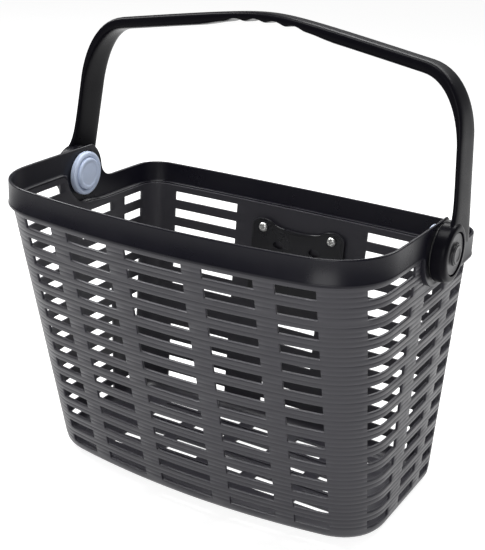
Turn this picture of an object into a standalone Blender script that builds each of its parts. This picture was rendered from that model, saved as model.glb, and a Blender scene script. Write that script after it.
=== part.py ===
"""Click-on handlebar basket for a bicycle, as an assembly of its moulded and metal pieces.

Units are metres, +Z is up, +X runs along the long walls and -Y is the front, away from the handlebar.
The basket body is one moulding whose rim is two rows lower at the back. The carrying handle turns on a
journal bush at each end, held by a sprung clutch plate that a round push button inside the basket releases.
"""

import math

import bmesh
import bpy
from mathutils import Matrix, Vector

MM = 0.001
GAP = 0.3 * MM  # between two pieces that touch

# Body: plan of the rim, plan of the base, heights
RIM_WIDTH = 350 * MM
RIM_DEPTH = 262 * MM
FRONT_BOW = 20 * MM
SIDE_BOW = 3 * MM
BACK_BOW = 4 * MM
FRONT_CORNER = 47 * MM
BACK_CORNER = 24 * MM
BASE_WIDTH = 325 * MM
BASE_DEPTH = 172 * MM
BASE_SETBACK = 24 * MM  # the base lies this much further back than the rim
BASE_FRONT_BOW = 19 * MM
BASE_FRONT_CORNER = 37 * MM
BASE_EDGE_RADIUS = 11 * MM
HEIGHT = 272 * MM
WALL = 2.6 * MM
RIM_BAND = 21.5 * MM
RIM_STEP_OUT = 2.8 * MM

# Slots: rows of openings round the walls
ROW_PITCH = 17.3 * MM
SLOT_HEIGHT = 8.4 * MM
BAND_TO_SLOT = 5.0 * MM
ROWS_DROPPED = 2  # rows that the lower back rim leaves out
PANEL_ROWS = 6  # rows of the back wall that the adapter panel takes up
FRONT_EDGES = (0.208, 0.344, 0.68, 0.812)  # column edges as shares of the straight half front
BACK_EDGES = (0.945, 0.47, 0.18)
FLOOR_SLOT = (34 * MM, 7 * MM)
FLOOR_SLOT_PITCH = (48 * MM, 16 * MM)

# Handle pivot
PIVOT_BACK = 16 * MM  # behind the middle of the rim
PIVOT_DROP = 24 * MM  # below the front rim's top
EAR_RADIUS = 28 * MM
EAR_FALL = 7 * MM
TAB_RADIUS = 29 * MM
RING_DIAMETER = 40 * MM
RING_HEIGHT = 5 * MM
BUTTON_DIAMETER = 29.5 * MM
BUTTON_THICKNESS = 3 * MM
BUTTON_PROUD = 1.2 * MM
BUTTON_TRAVEL = 3 * MM
STEM_DIAMETER = 9 * MM
JOURNAL_DIAMETER = 23.4 * MM
SPRING_DIAMETER = 16 * MM
SPRING_WIRE = 1.3 * MM
SPRING_TURNS = 4
WASHER_THICKNESS = 1 * MM
EYE_DIAMETER = 48 * MM
EYE_THICKNESS = 12.5 * MM
EYE_RECESS_DIAMETER = 36 * MM
EYE_RECESS_DEPTH = 3.4 * MM
PLATE_THICKNESS = 2.2 * MM
HUB_CAP_DIAMETER = 18.5 * MM

# Handle
HANDLE_RISE = 158 * MM  # middle of the grip above the pivot
HANDLE_BOW = 19.5 * MM
CROWN_SHARE = 0.2  # how much of the cross bar's half its rounded crown takes
ARM_RISE = 83 * MM
ARM_LEAN_IN = 8 * MM
ARM_WIDTH = 25 * MM
ARM_SPREAD_FRONT = 1.5 * MM  # what the arms are wider than the cross bar, to the front
ARM_SPREAD_BACK = 6.5 * MM
ARM_THICKNESS = 4.6 * MM
ARM_SETBACK = 13 * MM  # the arms stand behind the middle of their eyes
CORNER_RUN = 40 * MM
BAR_THICKNESS = 10.4 * MM
GRIP_RELIEF = 2 * MM  # what the grip is thinner than the bar, underneath
SCALLOP_PITCH = 19 * MM
SCALLOP_COUNT = 4
SCALLOP_DEPTH = 2.4 * MM
HANDLE_LEAN = math.radians(5)

# Adapter on the back wall
PANEL_WIDTH = 112 * MM
PANEL_THICKNESS = 4.4 * MM
BACKING_WIDTH = 98 * MM
BACKING_HEIGHT = 80 * MM
BACKING_THICKNESS = 3.2 * MM
BACKING_BELOW_RIM = 33 * MM
LOBE_RADIUS = 12.5 * MM
SCREW_SPACING = (72 * MM, 55 * MM)
SCREW_DIAMETER = 5 * MM
SCREW_HEAD = 9 * MM
ADAPTER_SIZE = (94 * MM, 5 * MM, 82 * MM)
CLAW_REACH = 19 * MM
CLAW_WIDTH = 9 * MM
CLAW_SPACING = 52 * MM
CLAW_DROP = 6 * MM  # from the adapter's top edge to a claw's top face
CLAW_CHAMFER = 4 * MM
NUT_ACROSS_FLATS = 8 * MM
NUT_THICKNESS = 4 * MM

POINTS_BELOW_SLOTS = 4  # points on an upright line below its lowest slot
FIRST_ROWS = {  # uppermost row of each kind of column
    "front": 0,
    "side front": 0,
    "side": ROWS_DROPPED,
    "back": ROWS_DROPPED,
    "back middle": ROWS_DROPPED + PANEL_ROWS,
}
ROUND = 28  # sides of a large round piece
ROUND_SMALL = 18

BAND_BOTTOM = HEIGHT - RIM_BAND
FIRST_SLOT_TOP = BAND_BOTTOM - BAND_TO_SLOT
RIM_DROP = ROWS_DROPPED * ROW_PITCH
LOWEST_SLOT = BASE_EDGE_RADIUS + 0.6 * MM
ROW_COUNT = 1 + int((FIRST_SLOT_TOP - SLOT_HEIGHT - LOWEST_SLOT) / ROW_PITCH)
PIVOT_Z = HEIGHT - PIVOT_DROP
BORE_DIAMETER = BUTTON_DIAMETER + 6.6 * MM
ADAPTER_DEPTH = ADAPTER_SIZE[1] + CLAW_REACH

# The model stands with the middle of its box over the origin.
WALL_TILT = math.atan((RIM_DEPTH / 2 - RIM_STEP_OUT - BASE_DEPTH / 2 - BASE_SETBACK) / BAND_BOTTOM)
SCREW_MIDDLE_Z = HEIGHT - RIM_DROP - BACKING_BELOW_RIM - LOBE_RADIUS + 4 * MM - SCREW_SPACING[1] / 2


def back_face(z):
    """Y of the outer back wall at height z, in the rim's own frame."""
    low = BASE_DEPTH / 2 + BASE_SETBACK
    return low + (RIM_DEPTH / 2 - RIM_STEP_OUT - low) * z / BAND_BOTTOM


def adapter_rear():
    """The furthest that the adapter's claws reach back, in the rim's own frame."""
    reach = (PANEL_THICKNESS - WALL) / 2 + GAP + ADAPTER_DEPTH
    rise = ADAPTER_SIZE[2] / 2 - CLAW_DROP - CLAW_CHAMFER
    middle = back_face(SCREW_MIDDLE_Z) - (WALL / 2) * (1 - math.cos(WALL_TILT))
    return middle + reach * math.cos(WALL_TILT) + rise * math.sin(WALL_TILT)


SHIFT_Y = -(adapter_rear() - RIM_DEPTH / 2) / 2
PIVOT_Y = PIVOT_BACK + SHIFT_Y
EYE_INNER_X = RIM_WIDTH / 2 + GAP + WASHER_THICKNESS + GAP
EYE_OUTER_X = EYE_INNER_X + EYE_THICKNESS


def clear_scene():
    for old in list(bpy.data.objects):
        bpy.data.objects.remove(old)


def make_collection(name):
    made = bpy.data.collections.new(name)
    bpy.context.scene.collection.children.link(made)
    return made


def make_material(name, colour, roughness, metallic=0.0):
    made = bpy.data.materials.new(name)
    made.use_nodes = True
    shader = made.node_tree.nodes["Principled BSDF"]
    shader.inputs["Base Color"].default_value = (*colour, 1.0)
    shader.inputs["Roughness"].default_value = roughness
    shader.inputs["Metallic"].default_value = metallic
    return made


def mesh_object(name, bm, collection, material=None):
    """Turns a bmesh into an object of the given collection."""
    mesh = bpy.data.meshes.new(name)
    bm.to_mesh(mesh)
    bm.free()
    made = bpy.data.objects.new(name, mesh)
    collection.objects.link(made)
    if material:
        mesh.materials.append(material)
    mesh.shade_smooth()
    mesh.set_sharp_from_angle(angle=math.radians(35))
    return made


def as_cutter(obj):
    obj.hide_render = True
    obj.display_type = "WIRE"
    return obj


def boolean(obj, other, operation):
    modifier = obj.modifiers.new(f"{operation.lower()} {other.name}", "BOOLEAN")
    modifier.operation = operation
    modifier.object = other
    modifier.solver = "EXACT"


def add_turned(name, profile, collection, material=None, sides=ROUND):
    """A solid turned about Z from (radius, height) points that run up the outside and down the inside."""
    bm = bmesh.new()
    points = [bm.verts.new((radius, 0, height)) for radius, height in reversed(profile)]
    for start, stop in zip(points, points[1:]):
        bm.edges.new((start, stop))
    if profile[0][0] > 0:
        bm.edges.new((points[-1], points[0]))
    made = mesh_object(name, bm, collection, material)
    turn = made.modifiers.new("turn", "SCREW")
    turn.steps = sides
    turn.render_steps = sides
    turn.use_merge_vertices = True
    turn.merge_threshold = 0.01 * MM
    return made


def add_box(name, size, centre, collection, material=None):
    bm = bmesh.new()
    bmesh.ops.create_cube(bm, size=1)
    bmesh.ops.scale(bm, vec=size, verts=bm.verts)
    bmesh.ops.translate(bm, vec=centre, verts=bm.verts)
    return mesh_object(name, bm, collection, material)


def add_flat(name, outline, thickness, collection, material=None):
    """A flat outline made solid, half its thickness to each side of its own XY plane."""
    curve = bpy.data.curves.new(name, "CURVE")
    curve.dimensions = "2D"
    curve.fill_mode = "BOTH"
    curve.extrude = thickness / 2
    spline = curve.splines.new("POLY")
    spline.points.add(len(outline) - 1)
    for point, (x, y) in zip(spline.points, outline):
        point.co = (x, y, 0, 1)
    spline.use_cyclic_u = True
    source = bpy.data.objects.new(f"{name}_outline", curve)
    collection.objects.link(source)
    bpy.context.view_layer.update()
    mesh = bpy.data.meshes.new_from_object(source.evaluated_get(bpy.context.evaluated_depsgraph_get()))
    bm = bmesh.new()
    bm.from_mesh(mesh)
    bmesh.ops.remove_doubles(bm, verts=bm.verts, dist=0.01 * MM)
    bmesh.ops.recalc_face_normals(bm, faces=bm.faces)
    bpy.data.objects.remove(source)
    return mesh_object(name, bm, collection, material)


# ---------------------------------------------------------------- basket body


class Plan:
    """Right half of a plan outline: bowed front, round front corner, side, round back corner, bowed back."""

    def __init__(self, width, depth, bows, corners, setback):
        front_bow, side_bow, back_bow = bows
        self.half = width / 2
        self.depth = depth
        self.corner_x = self.half - side_bow
        self.front_bow, self.side_bow, self.back_bow = bows
        self.setback = setback
        self.front_end = self.corner_x - corners[0]
        self.back_end = self.corner_x - corners[1]
        front_y = -(depth / 2 - front_bow)
        back_y = depth / 2 - back_bow
        self.side_start = front_y + corners[0]
        self.side_stop = back_y - corners[1]
        self.side_middle = (front_y + back_y) / 2
        self.side_reach = (back_y - front_y) / 2

    def front(self, x):
        return Vector((x, -self.depth / 2 + self.front_bow * (x / self.corner_x) ** 2))

    def back(self, x):
        return Vector((x, self.depth / 2 - self.back_bow * (x / self.corner_x) ** 2))

    def side(self, y):
        share = (y - self.side_middle) / self.side_reach
        return Vector((self.half - self.side_bow * share**2, y))

    def side_slope(self, y):
        return Vector((-2 * self.side_bow * (y - self.side_middle) / self.side_reach**2, 1)).normalized()

    def corner(self, share, start, start_way, stop, stop_way):
        reach = 0.5523 * (stop - start).length / math.sqrt(2)
        controls = (start, start + start_way * reach, stop - stop_way * reach, stop)
        weights = (
            (1 - share) ** 3,
            3 * (1 - share) ** 2 * share,
            3 * (1 - share) * share**2,
            share**3,
        )
        return sum((c * w for c, w in zip(controls, weights)), Vector((0, 0)))

    def front_corner(self, share):
        slope = 2 * self.front_bow * self.front_end / self.corner_x**2
        return self.corner(
            share,
            self.front(self.front_end),
            Vector((1, slope)).normalized(),
            self.side(self.side_start),
            self.side_slope(self.side_start),
        )

    def back_corner(self, share):
        slope = 2 * self.back_bow * self.back_end / self.corner_x**2
        return self.corner(
            share,
            self.side(self.side_stop),
            self.side_slope(self.side_stop),
            self.back(self.back_end),
            Vector((-1, slope)).normalized(),
        )

    def at(self, station):
        """Point of a station: (section, place), where a place is a share of its section or a side's own y."""
        section, place = station
        if section == "front":
            point = self.front(place * self.front_end)
        elif section == "front corner":
            point = self.front_corner(place)
        elif section == "side":
            point = self.side(self.side_start + place * (self.side_stop - self.side_start))
        elif section == "back corner":
            point = self.back_corner(place)
        else:
            point = self.back(place * self.back_end)
        return point + Vector((0, self.setback))


RIM_PLAN = Plan(
    RIM_WIDTH,
    RIM_DEPTH,
    (FRONT_BOW, SIDE_BOW, BACK_BOW),
    (FRONT_CORNER, BACK_CORNER),
    SHIFT_Y,
)
NECK_PLAN = Plan(
    RIM_WIDTH - 2 * RIM_STEP_OUT,
    RIM_DEPTH - 2 * RIM_STEP_OUT,
    (FRONT_BOW, SIDE_BOW, BACK_BOW),
    (FRONT_CORNER - RIM_STEP_OUT, BACK_CORNER - RIM_STEP_OUT),
    SHIFT_Y,
)
BASE_PLAN = Plan(
    BASE_WIDTH,
    BASE_DEPTH,
    (BASE_FRONT_BOW, 0, BACK_BOW),
    (BASE_FRONT_CORNER, BACK_CORNER - RIM_STEP_OUT),
    SHIFT_Y + BASE_SETBACK,
)


class Line:
    """One upright line of the wall: its stations on rim and base, and the column of slots to its left."""

    def __init__(self, section, rim_place, base_place=None, column=None, fine=False):
        self.rim_station = (section, rim_place)
        self.base_station = (section, rim_place if base_place is None else base_place)
        self.column = column
        self.fine = fine


def side_share(offset):
    """Share of the rim's side section at this distance behind the pivot."""
    side = RIM_PLAN.side_stop - RIM_PLAN.side_start
    return (PIVOT_BACK + offset - RIM_PLAN.side_start) / side


def wall_lines():
    """The upright lines of the right half, from the front's middle to the back's middle.

    A line's column names the slots between the line before it and itself.
    """
    inner, second, third, outer = FRONT_EDGES
    lines = [
        Line("front", 0),
        Line("front", inner, column="front"),
        Line("front", second),
        Line("front", third, column="front"),
        Line("front", outer),
        Line("front corner", 0.10, column="front"),
        Line("front corner", 0.28),
        Line("front corner", 0.45),
        Line("front corner", 0.62),
        Line("front corner", 0.81, column="side front"),
        Line("side", 0.02, column="side front"),
        Line("side", side_share(-38 * MM), 0.04, column="side front"),
    ]
    offsets = (-28, -26.5, -24, -20, -13, -7, 0, 7, 14, 20, 24, 27, 30, 34, 38, 46, 54)
    base_places = {-13: 0.27, 38: 0.61}
    for offset in offsets:
        place = side_share(offset * MM)
        column = "side" if offset == 38 else None
        lines.append(Line("side", place, base_places.get(offset), column, offset not in base_places))
    lines += [
        Line("side", side_share(60 * MM), 0.78),
        Line("back corner", 0.06, 0.02, column="side"),
        Line("back corner", 0.3),
        Line("back corner", 0.55),
        Line("back corner", 0.8),
    ]
    outer, second, inner = BACK_EDGES
    lines += [
        Line("back", outer),
        Line("back", second, column="back"),
        Line("back", inner),
        Line("back", 0, column="back middle"),
    ]
    return lines


def band_bottom(y):
    """Lower edge of the rim band beside a pivot, at y behind the rim's middle."""
    low = BAND_BOTTOM - RIM_DROP
    offset = y - PIVOT_BACK
    if offset <= -TAB_RADIUS:
        return BAND_BOTTOM
    tab = PIVOT_Z - TAB_RADIUS
    if offset < 0:
        return min(BAND_BOTTOM, PIVOT_Z - math.sqrt(TAB_RADIUS**2 - offset**2))
    ease = min(1, offset / TAB_RADIUS)
    return tab + (low - tab) * (3 * ease**2 - 2 * ease**3)


def band_top(y):
    """Upper edge of the rim band beside a pivot."""
    offset = y - PIVOT_BACK
    low = HEIGHT - RIM_DROP
    level = math.sqrt(EAR_RADIUS**2 - PIVOT_DROP**2)
    if offset <= level:
        return HEIGHT
    turn = 27 * MM
    if offset <= turn:
        return PIVOT_Z + math.sqrt(EAR_RADIUS**2 - offset**2)
    start = PIVOT_Z + math.sqrt(EAR_RADIUS**2 - turn**2)
    return low + (start - low) * math.exp(-(offset - turn) / EAR_FALL)


def band_edges(line):
    """(bottom, top) of the rim band on an upright line."""
    section, _ = line.rim_station
    if section.startswith("front"):
        return BAND_BOTTOM, HEIGHT
    if section.startswith("back"):
        return BAND_BOTTOM - RIM_DROP, HEIGHT - RIM_DROP
    y = RIM_PLAN.at(line.rim_station).y - SHIFT_Y
    return band_bottom(y), band_top(y)


def slot_levels():
    """(bottom, top, row) of each row of slots, lowest row first."""
    tops = [(FIRST_SLOT_TOP - row * ROW_PITCH, row) for row in range(ROW_COUNT)]
    return [(top - SLOT_HEIGHT, top, row) for top, row in reversed(tops)]


def wall_point(line, z):
    """Outer face of the wall on an upright line at height z, in plan."""
    share = z / BAND_BOTTOM
    rim = NECK_PLAN.at(line.rim_station)
    return BASE_PLAN.at(line.base_station).lerp(rim, share)


def line_points(line):
    """All points of an upright line from the floor's edge to the rim's top, with their levels."""
    bottom, top = band_edges(line)
    split = FIRST_SLOT_TOP - ROWS_DROPPED * ROW_PITCH
    inward = BASE_PLAN.at(line.base_station) - Vector((0, SHIFT_Y + BASE_SETBACK))
    inward = -inward.normalized()
    points = []
    for angle in (90, 60, 30):
        rise = BASE_EDGE_RADIUS * (1 - math.sin(math.radians(angle)))
        inset = BASE_EDGE_RADIUS * (1 - math.cos(math.radians(angle)))
        points.append((wall_point(line, rise) + inward * inset, rise))
    points.insert(0, (wall_point(line, 0) + inward * (BASE_EDGE_RADIUS + 8 * MM), 0))
    for low, high, _ in slot_levels():
        for z in (low, high):
            if z > split + 1e-6:
                z = split + (z - split) * (bottom - split) / (BAND_BOTTOM - split)
            points.append((wall_point(line, z), z))
    points.append((wall_point(line, bottom), bottom))
    points.append((RIM_PLAN.at(line.rim_station), bottom))
    points.append((RIM_PLAN.at(line.rim_station), top))
    return [Vector((p.x, p.y, z)) for p, z in points]


def slot_beside(line, level):
    """Whether a slot fills the space before this line, just above the given level."""
    step = level - POINTS_BELOW_SLOTS
    if line.column is None or step < 0 or step % 2 or step // 2 >= ROW_COUNT:
        return False
    row = ROW_COUNT - 1 - step // 2
    return row >= FIRST_ROWS[line.column]


def body_surface():
    """The outer face of the right half of the walls, with a hole for each slot."""
    lines = wall_lines()
    bm = bmesh.new()
    columns = [[bm.verts.new(p) for p in line_points(line)] for line in lines]
    coarse = [i for i, line in enumerate(lines) if not line.fine]
    levels = len(columns[0])
    split = POINTS_BELOW_SLOTS + 2 * (ROW_COUNT - ROWS_DROPPED) - 1
    for level in range(levels - 1):
        for here, there in zip(coarse, coarse[1:]):
            if level < split:
                if not slot_beside(lines[there], level):
                    low, high = columns[here], columns[there]
                    bm.faces.new((low[level], high[level], high[level + 1], low[level + 1]))
                continue
            if level == split:
                top = [columns[k][level + 1] for k in range(there, here - 1, -1)]
                bm.faces.new([columns[here][level], columns[there][level], *top])
                continue
            for k in range(here + 1, there + 1):
                if not slot_beside(lines[k], level):
                    low, high = columns[k - 1], columns[k]
                    bm.faces.new((low[level], high[level], high[level + 1], low[level + 1]))
    bmesh.ops.delete(bm, geom=[v for v in bm.verts if not v.link_faces], context="VERTS")
    return bm


def floor_outline():
    """Outline of the floor slab, inside the round edge of the base."""
    right = [line for line in wall_lines() if not line.fine]
    inset = BASE_EDGE_RADIUS + 3 * MM
    points = []
    for line in right:
        point = BASE_PLAN.at(line.base_station)
        middle = Vector((0, SHIFT_Y + BASE_SETBACK))
        points.append(point - (point - middle).normalized() * inset)
    return points + [Vector((-p.x, p.y)) for p in reversed(points)]


def add_floor_slab(cutters):
    slab = as_cutter(add_flat("floor_slab", floor_outline(), WALL, cutters))
    slab.location.z = 0.4 * MM + WALL / 2
    return slab


def add_floor_slots(cutters):
    """One cutter of separate boxes, a grid of slots that keeps clear of the base's corners."""
    bm = bmesh.new()
    margin = BASE_EDGE_RADIUS + 12 * MM
    across = int((BASE_WIDTH - 2 * BASE_FRONT_CORNER) / FLOOR_SLOT_PITCH[0] / 2)
    depth_free = BASE_DEPTH - BASE_FRONT_BOW - 2 * margin
    along = int(depth_free / FLOOR_SLOT_PITCH[1] / 2)
    middle_y = SHIFT_Y + BASE_SETBACK + BASE_FRONT_BOW / 2
    for i in range(-across, across + 1):
        for j in range(-along, along + 1):
            made = bmesh.ops.create_cube(bm, size=1)["verts"]
            bmesh.ops.scale(bm, vec=(*FLOOR_SLOT, 4 * WALL), verts=made)
            place = (i * FLOOR_SLOT_PITCH[0], middle_y + j * FLOOR_SLOT_PITCH[1], WALL / 2)
            bmesh.ops.translate(bm, vec=place, verts=made)
    return as_cutter(mesh_object("floor_slots", bm, cutters))


def place_on_back(obj):
    """Moves a piece from the panel's own frame (y out of the back wall, z up it) to its place."""
    middle = Vector((0, back_face(SCREW_MIDDLE_Z) - WALL / 2 + SHIFT_Y, SCREW_MIDDLE_Z))
    obj.matrix_world = Matrix.Translation(middle) @ Matrix.Rotation(-WALL_TILT, 4, "X")
    return obj


def screw_places():
    half_x, half_z = (s / 2 for s in SCREW_SPACING)
    return [(sx * half_x, sz * half_z) for sz in (1, -1) for sx in (-1, 1)]


def cylinder_cutter(name, diameter, length, collection, sides=ROUND):
    bm = bmesh.new()
    bmesh.ops.create_cone(
        bm,
        cap_ends=True,
        segments=sides,
        radius1=diameter / 2,
        radius2=diameter / 2,
        depth=length,
    )
    return as_cutter(mesh_object(name, bm, collection))


def add_basket_body(parts, cutters, material):
    body = mesh_object("basket_body", body_surface(), parts, material)
    mirror = body.modifiers.new("left half", "MIRROR")
    mirror.merge_threshold = 0.01 * MM
    shell = body.modifiers.new("wall", "SOLIDIFY")
    shell.thickness = WALL
    shell.offset = -1
    shell.use_even_offset = True
    shell.use_quality_normals = True
    boolean(body, add_floor_slab(cutters), "UNION")
    boolean(body, add_floor_slots(cutters), "DIFFERENCE")
    panel_height = BACKING_HEIGHT + 8 * MM
    size = (PANEL_WIDTH, PANEL_THICKNESS, panel_height)
    panel = as_cutter(add_box("adapter_panel", size, (0, 0, 0), cutters))
    boolean(body, place_on_back(panel), "UNION")
    bore = cylinder_cutter("pivot_bores", BORE_DIAMETER, RIM_WIDTH * 1.2, cutters)
    bore.location = (0, PIVOT_Y, PIVOT_Z)
    bore.rotation_euler = (0, math.pi / 2, 0)
    boolean(body, bore, "DIFFERENCE")
    for i, (x, z) in enumerate(screw_places(), 1):
        hole = cylinder_cutter(f"screw_hole_{i}", SCREW_DIAMETER + 2 * GAP, 30 * MM, cutters, ROUND_SMALL)
        place_on_back(hole)
        spot = Matrix.Translation((x, 0, z))
        hole.matrix_world = hole.matrix_world @ spot @ Matrix.Rotation(math.pi / 2, 4, "X")
        boolean(body, hole, "DIFFERENCE")
    return body


# ---------------------------------------------------------------- handle


def bar_rise(share):
    """Height of the cross bar above the pivot, at a share of its half length from its middle."""
    crown = CROWN_SHARE
    fall = (math.hypot(share, crown) - crown) / (math.hypot(1, crown) - crown)
    return HANDLE_RISE - HANDLE_BOW * fall


def handle_path():
    """Right half of the handle's middle line in (x, height above the pivot), from the eye to the grip."""
    top_x = EYE_OUTER_X - ARM_THICKNESS / 2 - ARM_LEAN_IN
    start_x = top_x + ARM_LEAN_IN
    bar_x = top_x - CORNER_RUN + 3 * MM
    path = []
    for height in (0.06, 0.2, 0.28, 0.36, 0.46, 0.6, 0.8, 1.0):
        path.append(Vector((start_x - ARM_LEAN_IN * height, ARM_RISE * height)))
    start, stop = path[-1], Vector((bar_x, HANDLE_RISE - HANDLE_BOW))
    way_in = Vector((-ARM_LEAN_IN, ARM_RISE)).normalized()
    way_out = Vector((-0.1 * bar_x, bar_rise(0.9) - bar_rise(1))).normalized()
    reach = 0.36 * (stop - start).length
    for step in range(1, 7):
        t = step / 6
        corner = start * (1 - t) ** 3 + (start + way_in * reach) * (3 * (1 - t) ** 2 * t)
        corner += (stop - way_out * reach) * (3 * (1 - t) * t**2) + stop * t**3
        path.append(corner)
    bar_steps = [0.86, 0.72, 0.58]
    path += [Vector((bar_x * s, bar_rise(s))) for s in bar_steps]
    grip = SCALLOP_PITCH * SCALLOP_COUNT / 2
    steps = SCALLOP_COUNT * 4
    for i in range(steps // 2 + 1):
        x = grip * (1 - 2 * i / steps)
        path.append(Vector((x, bar_rise(x / bar_x))))
    return path


def handle_section(point):
    """(front, back, inner, outer) reach of the handle's section about its middle line."""
    height = point.y
    share = min(1, max(0, (height - ARM_RISE) / (HANDLE_RISE - HANDLE_BOW - ARM_RISE)))
    thickness = ARM_THICKNESS + (BAR_THICKNESS - ARM_THICKNESS) * share
    flare = 15 * MM * math.exp(-max(0, height - 16 * MM) / (8 * MM)) if height < ARM_RISE * 0.8 else 0
    inner = thickness / 2
    grip = SCALLOP_PITCH * SCALLOP_COUNT / 2
    if abs(point.x) < grip and height > ARM_RISE:
        turn = 2 * math.pi * (point.x + grip) / SCALLOP_PITCH
        inner -= GRIP_RELIEF + SCALLOP_DEPTH * (0.5 - 0.5 * math.cos(turn))
    front = ARM_WIDTH / 2 + ARM_SPREAD_FRONT * (1 - share**2) + flare
    back = ARM_WIDTH / 2 + ARM_SPREAD_BACK * (1 - share**2)
    return front, back, inner, thickness / 2


def add_handle_bow(collection):
    half = handle_path()
    left = [Vector((-p.x, p.y)) for p in half[:-1]]
    path = [*half, *reversed(left)]
    bm = bmesh.new()
    rings = []
    for i, point in enumerate(path):
        way = (path[min(i + 1, len(path) - 1)] - path[max(i - 1, 0)]).normalized()
        outward = Vector((way.y, -way.x))
        front, back, inner, outer = handle_section(point)
        low, flat = 0.3, 0.6
        outer_side = ((-1, -low), (-1, low), (-flat, 1), (flat, 1))
        inner_side = ((1, low), (1, -low), (flat, -1), (-flat, -1))
        ring = []
        for across, up in outer_side + inner_side:
            depth = front if across < 0 else back
            rise = outer if up > 0 else inner
            spot = point + outward * (up * rise)
            ring.append(bm.verts.new((spot.x, ARM_SETBACK + across * depth, spot.y)))
        rings.append(ring)
    for before, after in zip(rings, rings[1:]):
        for i in range(len(before)):
            j = (i + 1) % len(before)
            bm.faces.new((before[i], before[j], after[j], after[i]))
    bm.faces.new(rings[0])
    bm.faces.new(rings[-1])
    bmesh.ops.recalc_face_normals(bm, faces=bm.faces)
    return bm


def eye_profile():
    """Section of an eye along its axis, from its inner face (height 0) outwards."""
    rim = EYE_DIAMETER / 2
    edge = 1.2 * MM
    return [
        (0, 0),
        (rim - edge, 0),
        (rim, edge),
        (rim, EYE_THICKNESS - edge),
        (rim - edge, EYE_THICKNESS),
        (0, EYE_THICKNESS),
    ]


def along_x(obj, x, side):
    """Turns a piece made about Z so that its axis lies on the pivot axis, pointing outwards."""
    obj.matrix_world = (
        Matrix.Translation((side * x, PIVOT_Y, PIVOT_Z))
        @ Matrix.Rotation(side * math.pi / 2, 4, "Y")
    )
    return obj


def add_handle(parts, cutters, material):
    handle = mesh_object("handle", add_handle_bow(parts), parts, material)
    handle.matrix_world = Matrix.Translation((0, PIVOT_Y, PIVOT_Z)) @ Matrix.Rotation(-HANDLE_LEAN, 4, "X")
    for side, name in ((-1, "L"), (1, "R")):
        eye = add_turned(f"eye_{name}", eye_profile(), cutters)
        along_x(eye, EYE_INNER_X, side)
        boolean(handle, as_cutter(eye), "UNION")
    for side, name in ((-1, "L"), (1, "R")):
        well = cylinder_cutter(f"eye_well_{name}", EYE_RECESS_DIAMETER, 2 * EYE_RECESS_DEPTH, cutters)
        along_x(well, EYE_OUTER_X, side)
        boolean(handle, well, "DIFFERENCE")
        bore = cylinder_cutter(f"eye_bore_{name}", JOURNAL_DIAMETER + 2 * GAP, 3 * EYE_THICKNESS, cutters)
        along_x(bore, EYE_INNER_X + EYE_THICKNESS / 2, side)
        boolean(handle, bore, "DIFFERENCE")
    return handle


# ---------------------------------------------------------------- pivots

WALL_INNER_X = RIM_WIDTH / 2 - WALL
RING_FACE_X = WALL_INNER_X - 2 * GAP - RING_HEIGHT
POCKET_FLOOR_X = RING_FACE_X - BUTTON_PROUD + BUTTON_THICKNESS + BUTTON_TRAVEL + GAP
JOURNAL_END_X = EYE_OUTER_X - EYE_RECESS_DEPTH - 0.6 * MM
SPRING_SEAT_X = JOURNAL_END_X - 2 * MM


def bush_profile():
    """Ring, neck through the wall and journal, from the ring's face (height 0) outwards."""
    face = RING_FACE_X
    pocket = BUTTON_DIAMETER / 2 + 0.5 * MM
    neck = BORE_DIAMETER / 2 - GAP
    spring_bore = SPRING_DIAMETER / 2 + 0.8 * MM
    edge = 1.2 * MM
    return [
        (pocket, 0),
        (RING_DIAMETER / 2 - edge, 0),
        (RING_DIAMETER / 2, edge),
        (RING_DIAMETER / 2, RING_HEIGHT),
        (neck, RING_HEIGHT),
        (neck, RIM_WIDTH / 2 - face),
        (JOURNAL_DIAMETER / 2, RIM_WIDTH / 2 - face),
        (JOURNAL_DIAMETER / 2, JOURNAL_END_X - face),
        (STEM_DIAMETER / 2 + GAP, JOURNAL_END_X - face),
        (STEM_DIAMETER / 2 + GAP, SPRING_SEAT_X - face),
        (spring_bore, SPRING_SEAT_X - face),
        (spring_bore, POCKET_FLOOR_X - face),
        (pocket, POCKET_FLOOR_X - face),
    ]


def button_profile():
    """Domed disc and stem, from the middle of its face (height 0) outwards."""
    radius = BUTTON_DIAMETER / 2
    dome = 0.8 * MM
    bore = SCREW_DIAMETER / 2 - 0.6 * MM
    start = RING_FACE_X - BUTTON_PROUD - dome
    stem_end = PLATE_INNER_X - GAP - start
    back = BUTTON_THICKNESS + dome
    return [
        (0, 0),
        (radius * 0.6, dome * 0.35),
        (radius - 0.8 * MM, dome),
        (radius, dome + 0.8 * MM),
        (radius, back),
        (STEM_DIAMETER / 2, back),
        (STEM_DIAMETER / 2, stem_end),
        (bore, stem_end),
        (bore, stem_end - 8 * MM),
        (0, stem_end - 8 * MM),
    ]


PLATE_INNER_X = EYE_OUTER_X - EYE_RECESS_DEPTH + GAP
HUB_RISE = 1.9 * MM
CLUTCH_SCREW_BORE = 4.4 * MM
CLUTCH_HEAD = 7.2 * MM


def plate_profile():
    """Clutch plate with a raised hub that hides its screw, from its inner face outwards."""
    radius = EYE_RECESS_DIAMETER / 2 - 1 * MM
    hub = HUB_CAP_DIAMETER / 2 - 1.4 * MM
    well = PLATE_THICKNESS + HUB_RISE - 1.2 * MM
    return [
        (CLUTCH_SCREW_BORE / 2, 0),
        (radius, 0),
        (radius, PLATE_THICKNESS - 0.6 * MM),
        (radius - 0.6 * MM, PLATE_THICKNESS),
        (HUB_CAP_DIAMETER / 2, PLATE_THICKNESS),
        (HUB_CAP_DIAMETER / 2, PLATE_THICKNESS + HUB_RISE),
        (hub, PLATE_THICKNESS + HUB_RISE),
        (hub, well),
        (CLUTCH_HEAD / 2 + GAP, well),
        (CLUTCH_HEAD / 2 + GAP, well - 1.4 * MM),
        (CLUTCH_SCREW_BORE / 2, well - 1.4 * MM),
    ]


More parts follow.
